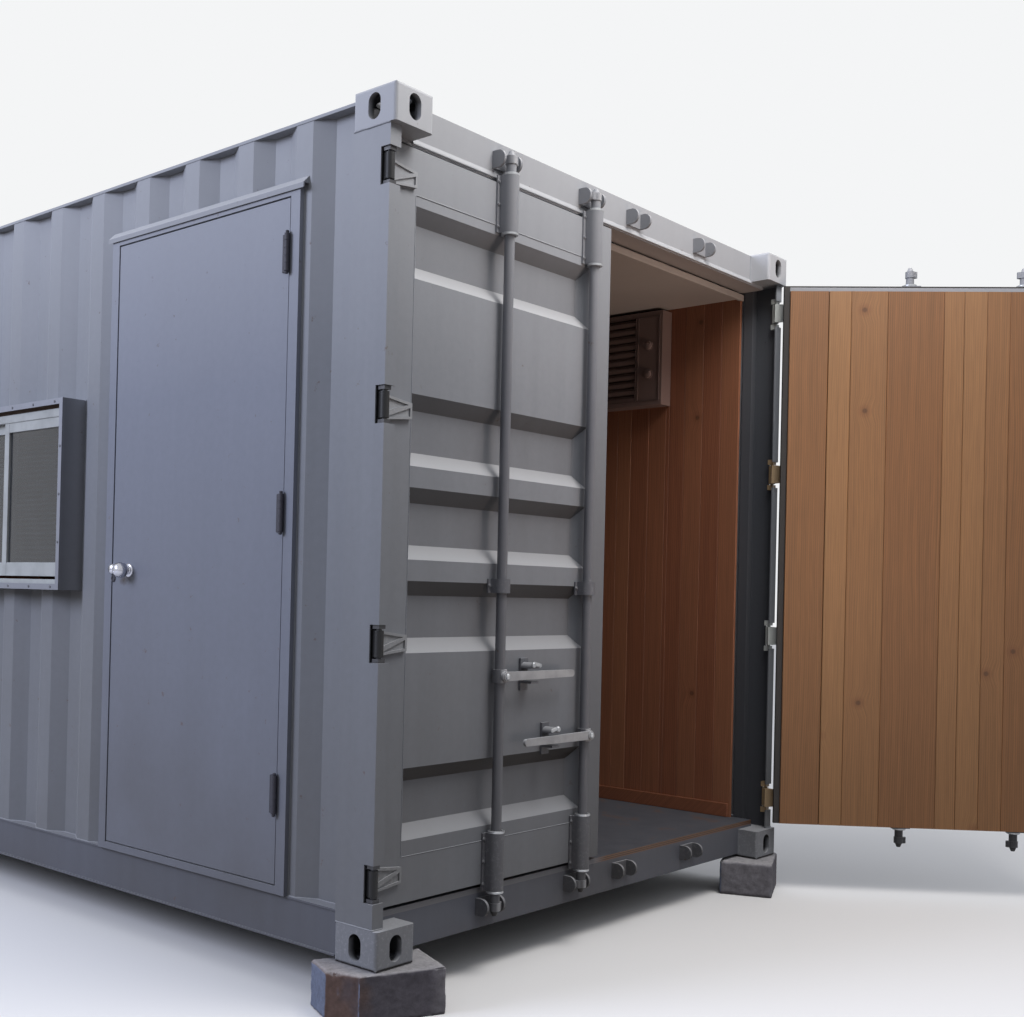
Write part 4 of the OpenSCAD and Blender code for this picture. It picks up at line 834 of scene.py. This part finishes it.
# smoother than the walls, stained and with a painted shadow below the knob: reads as a folded sheet door
dress(enamel("grey alkyd enamel on a flush steel door", "#747986", "#7e8390", 0.42, 0.8, 0.25,
             hollow=knob_stain_and_shadow, shade="#3a322d"), "entry_frame", "entry_leaf")


def drifting(name, first, second, cloud, rough, bump=None, share=None, **rest):
    """A finish that drifts between two tints. cloud is its noise's scale and
    detail, rough its roughness or that from and to, bump a strength, a
    distance and any noise of its own, and share the range that is tinted."""
    made, node, shader = finish(name)
    at = node("TexCoord", out="Object")
    drift = node("TexNoise", at, *cloud)
    tinted = node("MapRange", drift, *share) if share else drift
    feed(shader, Base_Color=node("Mix RGBA", tinted, first, second), **rest,
         Roughness=node("MapRange", drift, 0.3, 0.7, *rough) if isinstance(rough, tuple) else rough)
    if bump:
        strength, distance, *own = bump
        skin = node("TexNoise", at, *own) if own else drift
        feed(shader, Normal=node("Bump", Height=skin, Strength=strength, Distance=distance))
    return made


# near black with brown in it, dull: reads as oiled, rusting hinge steel
hinge_steel = drifting("rusted and oiled hinge steel", "#22252f", "#3d3b44", (120.0, 7.0, 0.7), 0.58,
                       (0.5, 0.0006), Metallic=0.25)
# bright, softly blurred by years of hands: reads as satin chrome on brass
chrome = drifting("satin chrome plate", "#a3a4ac", "#cfd0d8", (70.0, 5.0), (0.16, 0.30), Metallic=1.0)

tip = ((0.0, 0.0085), (0.004, 0.008), (0.0062, 0.005), (0.0052, 0.0015), (0.0052, 0.0))
barrel = [(r, -h) for r, h in tip]
for k in range(5):                                   # five knuckles with a fine gap between them
    foot, head = k * HINGE_H / 5, (k + 1) * HINGE_H / 5
    barrel += [(0.0078, foot + 0.0004), (0.0088, foot + 0.0012), (0.0088, head - 0.0012),
               (0.0078, head - 0.0004)]
barrel += [(r, HINGE_H + h) for r, h in reversed(tip)]
LEAF_PLATE = ((-0.0110, 0.4480, 0), (LEAF_X + 0.0005, 0.4760, HINGE_H))
FRAME_PLATE = ((-0.0135, 0.4440, 0.002), (-0.0070, 0.4500, HINGE_H - 0.002))
sink = bmesh.new()
for z in HINGE_AT:
    turned(sink, Matrix.Translation((*HINGE_XY, z - HINGE_H / 2)), barrel, 24)
    for low, high in (LEAF_PLATE, FRAME_PLATE):
        made = box_in(sink, low, high)
        for v in made:
            v.co.z += z - HINGE_H / 2
        bmesh.ops.bevel(sink, geom=list({e for v in made for e in v.link_edges}), offset=0.0012,
                        segments=2, affect="EDGES")
made_piece("entry_butt_hinges", sink, hinge_steel, "entry_door", 35, "entry_hinges")
SCREWS = ((-0.042, 1), (0.0, -1), (0.042, 1))        # up and down the plate, staggered
bolted("entry_hinge_screws", "entry_door", "gear_paint",
       [(-0.0110, 0.4640 + s * 0.0045, z + dz) for z in HINGE_AT for dz, s in SCREWS],
       (-1, 0, 0), 0.0036, 0.0012, 12, hinge_steel)

outward = Matrix.Rotation(math.radians(-90), 4, "Y")


def turned_out(name, y, z, profile, sides, coat, body, smooth, stands_for=None):
    """A turned piece that stands out from the leaf's face."""
    sink = bmesh.new()
    turned(sink, Matrix.Translation((LEAF_X, y, z)) @ outward, profile, sides)
    made_piece(name, sink, coat, body, smooth, stands_for)


turned_out("entry_knob_set", 1.278, 1.298, KNOB, 48, chrome, "entry_knob_turn", 45,
           "entry_knob")
turned_out("entry_latch_guard", LEAF_SIDE - 0.002, 1.302, GUARD, 40, chrome, "entry_door",
           50)
turned_out("entry_key_rose", LEAF_SIDE - 0.006, 1.268, ROSE, 32, hinge_steel, "entry_door",
           40)

# Window
# A box of 5 mm steel plate welded through the wall, with a two-light slider
# of white vinyl set in it on timber packers, and a blind behind the glass.
FACE, PLATE = -0.060, 0.005         # the box's lip, and how thick its plate is
GLASS = (1.324, 1.838)              # foot and head of the panes
PACKER = 0.028                      # the packer over the slider

# clean white gone grey, faintly glossy: reads as extruded vinyl
vinyl = drifting("extruded white vinyl", "#a6aaaa", "#7f8384", (14.0, 6.0), 0.36, (0.1, 0.001),
                 (0.42, 0.72, 0.0, 0.5))
y0, y1, z0, z1 = BOX[0] + PLATE, BOX[1] - PLATE, BOX[2] + PLATE, BOX[3] - PLATE
mid, head_z = (y0 + y1) / 2, z1 - PACKER
bars = [((-0.044, y0, z0), (0.0, y1, z0 + 0.034)), ((-0.040, y0, z1 - 0.060), (0.0, y1, head_z)),
        ((-0.044, y0, z0), (0.0, y0 + 0.030, head_z)), ((-0.044, y1 - 0.030, z0), (0.0, y1, head_z))]
low_z, top_z = z0 + 0.045, z1 - 0.050
for a, b, x in ((y0 + 0.022, mid + 0.018, -0.036), (mid - 0.018, y1 - 0.022, -0.016)):
    bars += [((x, a, low_z), (x + 0.020, b, GLASS[0])), ((x, a, GLASS[1]), (x + 0.020, b, top_z)),
             ((x - 0.001, a, low_z), (x + 0.021, a + 0.034, top_z)),
             ((x - 0.001, b - 0.034, low_z), (x + 0.021, b, top_z))]
eased("vinyl_slider", bars, 0.0022, vinyl, "window_sashes")

# brown, rough sawn, in shade: reads as the packing behind the vinyl
packer, node, shader = finish("rough sawn fir packer")
sawn = node("Mapping", node("TexCoord", out="Object"), Scale=(60.0, 3.0, 60.0))
feed(shader, Base_Color=node("Mix RGBA", node("TexNoise", sawn, 6.0, 4.0), "#3c2f29", "#6a5547"),
     Roughness=0.8)
eased("window_packers", [((-0.030, y0, head_z), (0.060, y1, z1)), ((0.002, y0, z0), (0.066, y1, z0 + 0.020))],
      0.002, packer)

# smoky, with a dusty skin: reads as tinted window glass
pane = drifting("tinted float glass", "#64676c", "#787b81", (9.0, 6.0), (0.0, 0.03),
                Transmission_Weight=0.85, IOR=1.45)
foot, head = GLASS[0] - 0.006, GLASS[1] + 0.006
eased("slider_panes", [((-0.028, y0 + 0.050, foot), (-0.023, mid - 0.010, head)),
                       ((-0.008, mid + 0.010, foot), (-0.003, y1 - 0.050, head))],
      0.0008, pane, "window_glass")

# Blind
# Crowned aluminium slats 16 mm wide, each a strip rolled to a shallow arc,
# stacked at 19 mm and hung behind the glass.
SLAT_HALF, CROWN, SLAT_T, SLAT_PITCH, SLATS = 0.008, 0.0012, 0.0006, 0.019, 27
slat_tree, node, given = growth("stack of slats", Count="Int", Pitch="Vector", Coat="Material")
stack = node("GeometryNodeMeshLine", given["Count"], Offset=given["Pitch"])
ended(node, node("GeometryNodeInstanceOnPoints", stack, Instance=given["Geometry"]), given["Coat"])


def slatted(name, slot, section, start, stop, count, pitch, coat):
    """A stack of strips of a closed (x, z) section, from one Y to another."""
    n = len(section)
    points = [(x, y, z) for y in (start, stop) for x, z in section]
    faces = [(i, n + i, n + (i + 1) % n, (i + 1) % n) for i in range(n)]
    faces += [tuple(range(n)), tuple(range(2 * n - 1, n - 1, -1))]
    grown(name, slat_tree, "shell", slot, points, faces=faces, Count=count,
          Pitch=(0.0, 0.0, pitch), Coat=coat)


# grey stove enamel on thin aluminium, satin and even: reads as a closed blind
slat_enamel = drifting("stoved enamel on aluminium slats", "#8a8c92", "#b2b4b9", (18.0, 5.0), 0.42,
                       (0.1, 0.0005))
tilt = math.radians(38)
arc = [(SLAT_HALF * k / 3, CROWN * (1 - (k / 3) ** 2)) for k in range(-3, 4)]
section = [(0.028 + x * math.cos(tilt) - z * math.sin(tilt),
            GLASS[0] + 0.004 + x * math.sin(tilt) + z * math.cos(tilt))
           for x, z in arc + [(x, z - SLAT_T) for x, z in reversed(arc)]]
slatted("blind_slats", "sash_vinyl", section, y0 + 0.030, y1 - 0.030, SLATS, SLAT_PITCH, slat_enamel)


def shaded_box_sides(node, at):
    """Up to 0.4 of painted shade on the box's sides, most near the lip."""
    side_on = node("Math ABSOLUTE", node("SeparateXYZ", node("TexCoord", out="Normal"), out="Y"))
    run = node("MapRange", node("SeparateXYZ", at, out="X"), -0.045, 0.01, 0.4, 0.0)
    return node("Math MULTIPLY", run, side_on)


# paler than the wall, with painted shade on its sides near the lip: reads as plate
dress(enamel("grey enamel on steel plate", "#858891", "#989ba3", 0.42, 1.0, hollow=shaded_box_sides,
             shade="#33373e"), "window_box")

# Window box screws
# Painted pan heads round the box's lip, where a flyscreen was fixed.
INSET = 0.011
bolted("window_box_screws", "shell", "gear_paint",
       [(FACE, BOX[0] + 0.055 + i * 0.155, z) for i in range(6) for z in (BOX[2] + INSET, BOX[3] - INSET)]
       + [(FACE, y, z) for y in (BOX[0] + INSET, BOX[1] - INSET) for z in (1.40, 1.58, 1.76)],
       (-1, 0, 0), 0.0042, 0.0022, 12, gear_enamel)

# Wall unit
# A through-the-wall cooling unit in a moulded ABS case, gone brown: slatted
# grille with a control panel beside it, two knobs on the panel.
UNIT_X = WIDE - 0.148
UNIT_KNOB = ((0.0, -0.001), (0.024, -0.001), (0.0245, 0.002), (0.0200, 0.003), (0.0190, 0.014),
             (0.0165, 0.016), (0.0, 0.0165))
VANES, VANE_PITCH = 11, (0.430 - 0.044) / 11

# dull dark brown, fine moulded grain: reads as old ABS in the shade
case_plastic = drifting("moulded brown ABS", "#6b5853", "#7c6862", (5.0, 4.0), 0.5, (0.5, 0.0004, 520.0, 2.0))
dress(case_plastic, "air_conditioner")
# a shade darker and smoother: reads as trim pressed into the case
trim_plastic = drifting("moulded fawn ABS trim", "#5a4a46", "#6a5955", (30.0, 4.0), 0.42, (0.2, 0.0005))
b0, b1 = UNIT[2] + 0.020, UNIT[3] - 0.020
x0, x1 = UNIT_X - 0.004, UNIT_X + 0.001


def outlined(a0, a1, wide):
    """Four flat bars round a rectangle from a0 to a1 on the unit's front."""
    return [((x0, a0, b0), (x1, a0 + wide, b1)), ((x0, a1 - wide, b0), (x1, a1, b1)),
            ((x0, a0, b0), (x1, a1, b0 + wide)), ((x0, a0, b1 - wide), (x1, a1, b1))]


panel = (UNIT[0] + 0.012, UNIT[0] + 0.132)
eased("unit_panel_trim", outlined(*panel, 0.006) + outlined(UNIT[0] + 0.138, UNIT[1] - 0.016, 0.004),
      0.0012, trim_plastic)
sink = bmesh.new()
for z in (2.27, 2.40):
    turned(sink, Matrix.Translation((UNIT_X, sum(panel) / 2, z)) @ outward, UNIT_KNOB)
made_piece("unit_knobs", sink, case_plastic, "shell", 40)
vane = ((0.0015, 0.0), (0.003, 0.0), (0.0095, 0.006), (0.0095, 0.0075))
slatted("unit_vanes", "unit_plastic",
        [(UNIT_X + x, UNIT[2] + 0.022 + VANE_PITCH * 0.62 + z) for x, z in vane],
        UNIT[0] + 0.1444, UNIT[0] + 0.618, VANES, VANE_PITCH, case_plastic)

# Closing plates
# Strips of 3 to 4 mm sheet welded in to close the far posts against the far
# wall and end the roof's last rib, and a bolted plate over the unit's hole.
STRIP_X, STRIP_Y, STRIP_Z = (0.1585, 0.1622), (6.0000, 6.0515), (0.290, 2.616)
COVER, COVER_X = (0.500, 1.210, 2.092, 2.588), (WIDE - 0.012, WIDE - 0.007)
eased("closing_strips",
      [((STRIP_X[0], STRIP_Y[0], STRIP_Z[0]), (STRIP_X[1], STRIP_Y[1], STRIP_Z[1])),
       ((WIDE - STRIP_X[1], STRIP_Y[0], STRIP_Z[0]), (WIDE - STRIP_X[0], STRIP_Y[1], STRIP_Z[1])),
       ((0.058, 5.8785, 2.7065), (2.380, 5.8815, 2.7284))], 0.0008, sheet_enamel)
eased("unit_back_cover", [((COVER_X[0], COVER[0], COVER[2]), (COVER_X[1], COVER[1], COVER[3]))],
      0.0015, sheet_enamel)
spots = [(COVER_X[1], y, z) for y in (0.522, 0.744, 0.966, 1.188) for z in (2.114, 2.566)]
bolted("unit_cover_bolts", "shell", "shell_paint", spots, (1, 0, 0), 0.008, 0.005, 6, gear_enamel)

# Support blocks
# One block of old masonry under each corner: rendered brick with a corner
# broken off, worn round by lorry wheels and daubed with paint at one end.
BLOCK = ((0.0, 0.0), (0.278, 0.0), (0.278, 0.215), (-0.076, 0.215), (-0.076, 0.083))
BLOCK_AT, BLOCK_TURN, BLOCK_H = (-0.048, 0.014, 0), -23, LIFT
CHIP, VOXEL, FLAT = 0.009, 0.0065, 0.004     # deepest chips, remeshing step, what counts as top or foot

# chalky grey, brown where the face broke off, bluish paint on the end, paler on top as painted light
masonry, node, shader = finish("broken rendered brick")
at, normal = node("TexCoord", out="Object"), node("TexCoord", out="Normal")
grit = node("TexNoise", at, 55.0, 9.0, 0.7)
lump = node("TexNoise", at, 11.0, 5.0)
fold = node("Math ABSOLUTE", node("Math SUBTRACT", WIDE / 2, node("SeparateXYZ", at, out="X")))
fold = node("Math MULTIPLY_ADD", lump, 0.16, fold)
end = node("VectorMath DOT_PRODUCT", normal, (-0.92, 0.39, 0))
colour = node("Mix RGBA", lump, "#3a373f", "#65626a")
for share, tint in ((node("MapRange", fold, 1.30, 1.36, 0.0, 0.9), "#5c473e"),
                    (node("MapRange", fold, 1.16, 1.08, 0.0, 0.75), "#858388"),
                    (node("MapRange", end, 0.82, 0.95, 0.0, 0.9), "#6c768c"),
                    # paler on faces turned up: painted light
                    (node("MapRange", node("SeparateXYZ", normal, out="Z"), 0.25, 0.9, 0.0, 0.6), "#aaa8a8")):
    colour = node("Mix RGBA", share, colour, tint)
speck = node("MapRange", grit, 0.3, 0.7, 0.72, 1.22)
feed(shader, Base_Color=node("VectorMath SCALE", colour, speck), Roughness=0.92,
     Normal=node("Bump", Height=grit, Strength=0.8, Distance=0.002))

sink = bmesh.new()
for flip_x, flip_y in ((False, False), (False, True), (True, False), (True, True)):
    solid = bmesh.new()
    prism(solid, *([solid.verts.new((x, y, z)) for x, y in BLOCK] for z in (0.0, BLOCK_H)))
    rough = bpy.data.meshes.new("block_solid")
    solid.to_mesh(rough)
    solid.free()
    carrier = bpy.data.objects.new("block_solid", rough)
    scene.collection.objects.link(carrier)
    voxels = carrier.modifiers.new("voxels", "REMESH")
    voxels.mode, voxels.voxel_size = "VOXEL", VOXEL
    dense = bpy.data.meshes.new_from_object(carrier.evaluated_get(bpy.context.evaluated_depsgraph_get()))
    bpy.data.objects.remove(carrier)
    seed = Vector((7.0 * flip_x, 11.0 * flip_y, 3.0))
    normals = [v.normal.copy() for v in dense.vertices]
    for v, n in zip(dense.vertices, normals):
        sharp = 1 - max(abs(c) for c in n)
        wear = noise.fractal(v.co * 26 + seed, 0.6, 2.0, 5) * 0.0022 + sharp * 0.010
        bite = max(0.0, noise.noise(v.co * 17 + seed) - 0.12) * (0.25 + 2.2 * sharp) * CHIP * 1.8
        step = -n * (abs(wear) + bite)
        flat_face = abs(n.z) > 0.9 and (v.co.z < FLAT or v.co.z > BLOCK_H - FLAT)
        v.co += Vector((step.x, step.y, 0.0 if flat_face else step.z))
        v.co.z = min(BLOCK_H, max(0.0, v.co.z))
    place = Matrix.Translation(BLOCK_AT) @ Matrix.Rotation(math.radians(BLOCK_TURN), 4, "Z")
    if flip_x:
        place = Matrix.Translation((WIDE, 0, 0)) @ mirror_x @ place
    if flip_y:
        place = Matrix.Translation((0, LONG, 0)) @ mirror_y @ place
    dense.transform(place)
    if flip_x != flip_y:
        dense.flip_normals()
    sink.from_mesh(dense)
made_piece("masonry_blocks", sink, masonry, "shell", 60, "support_blocks")
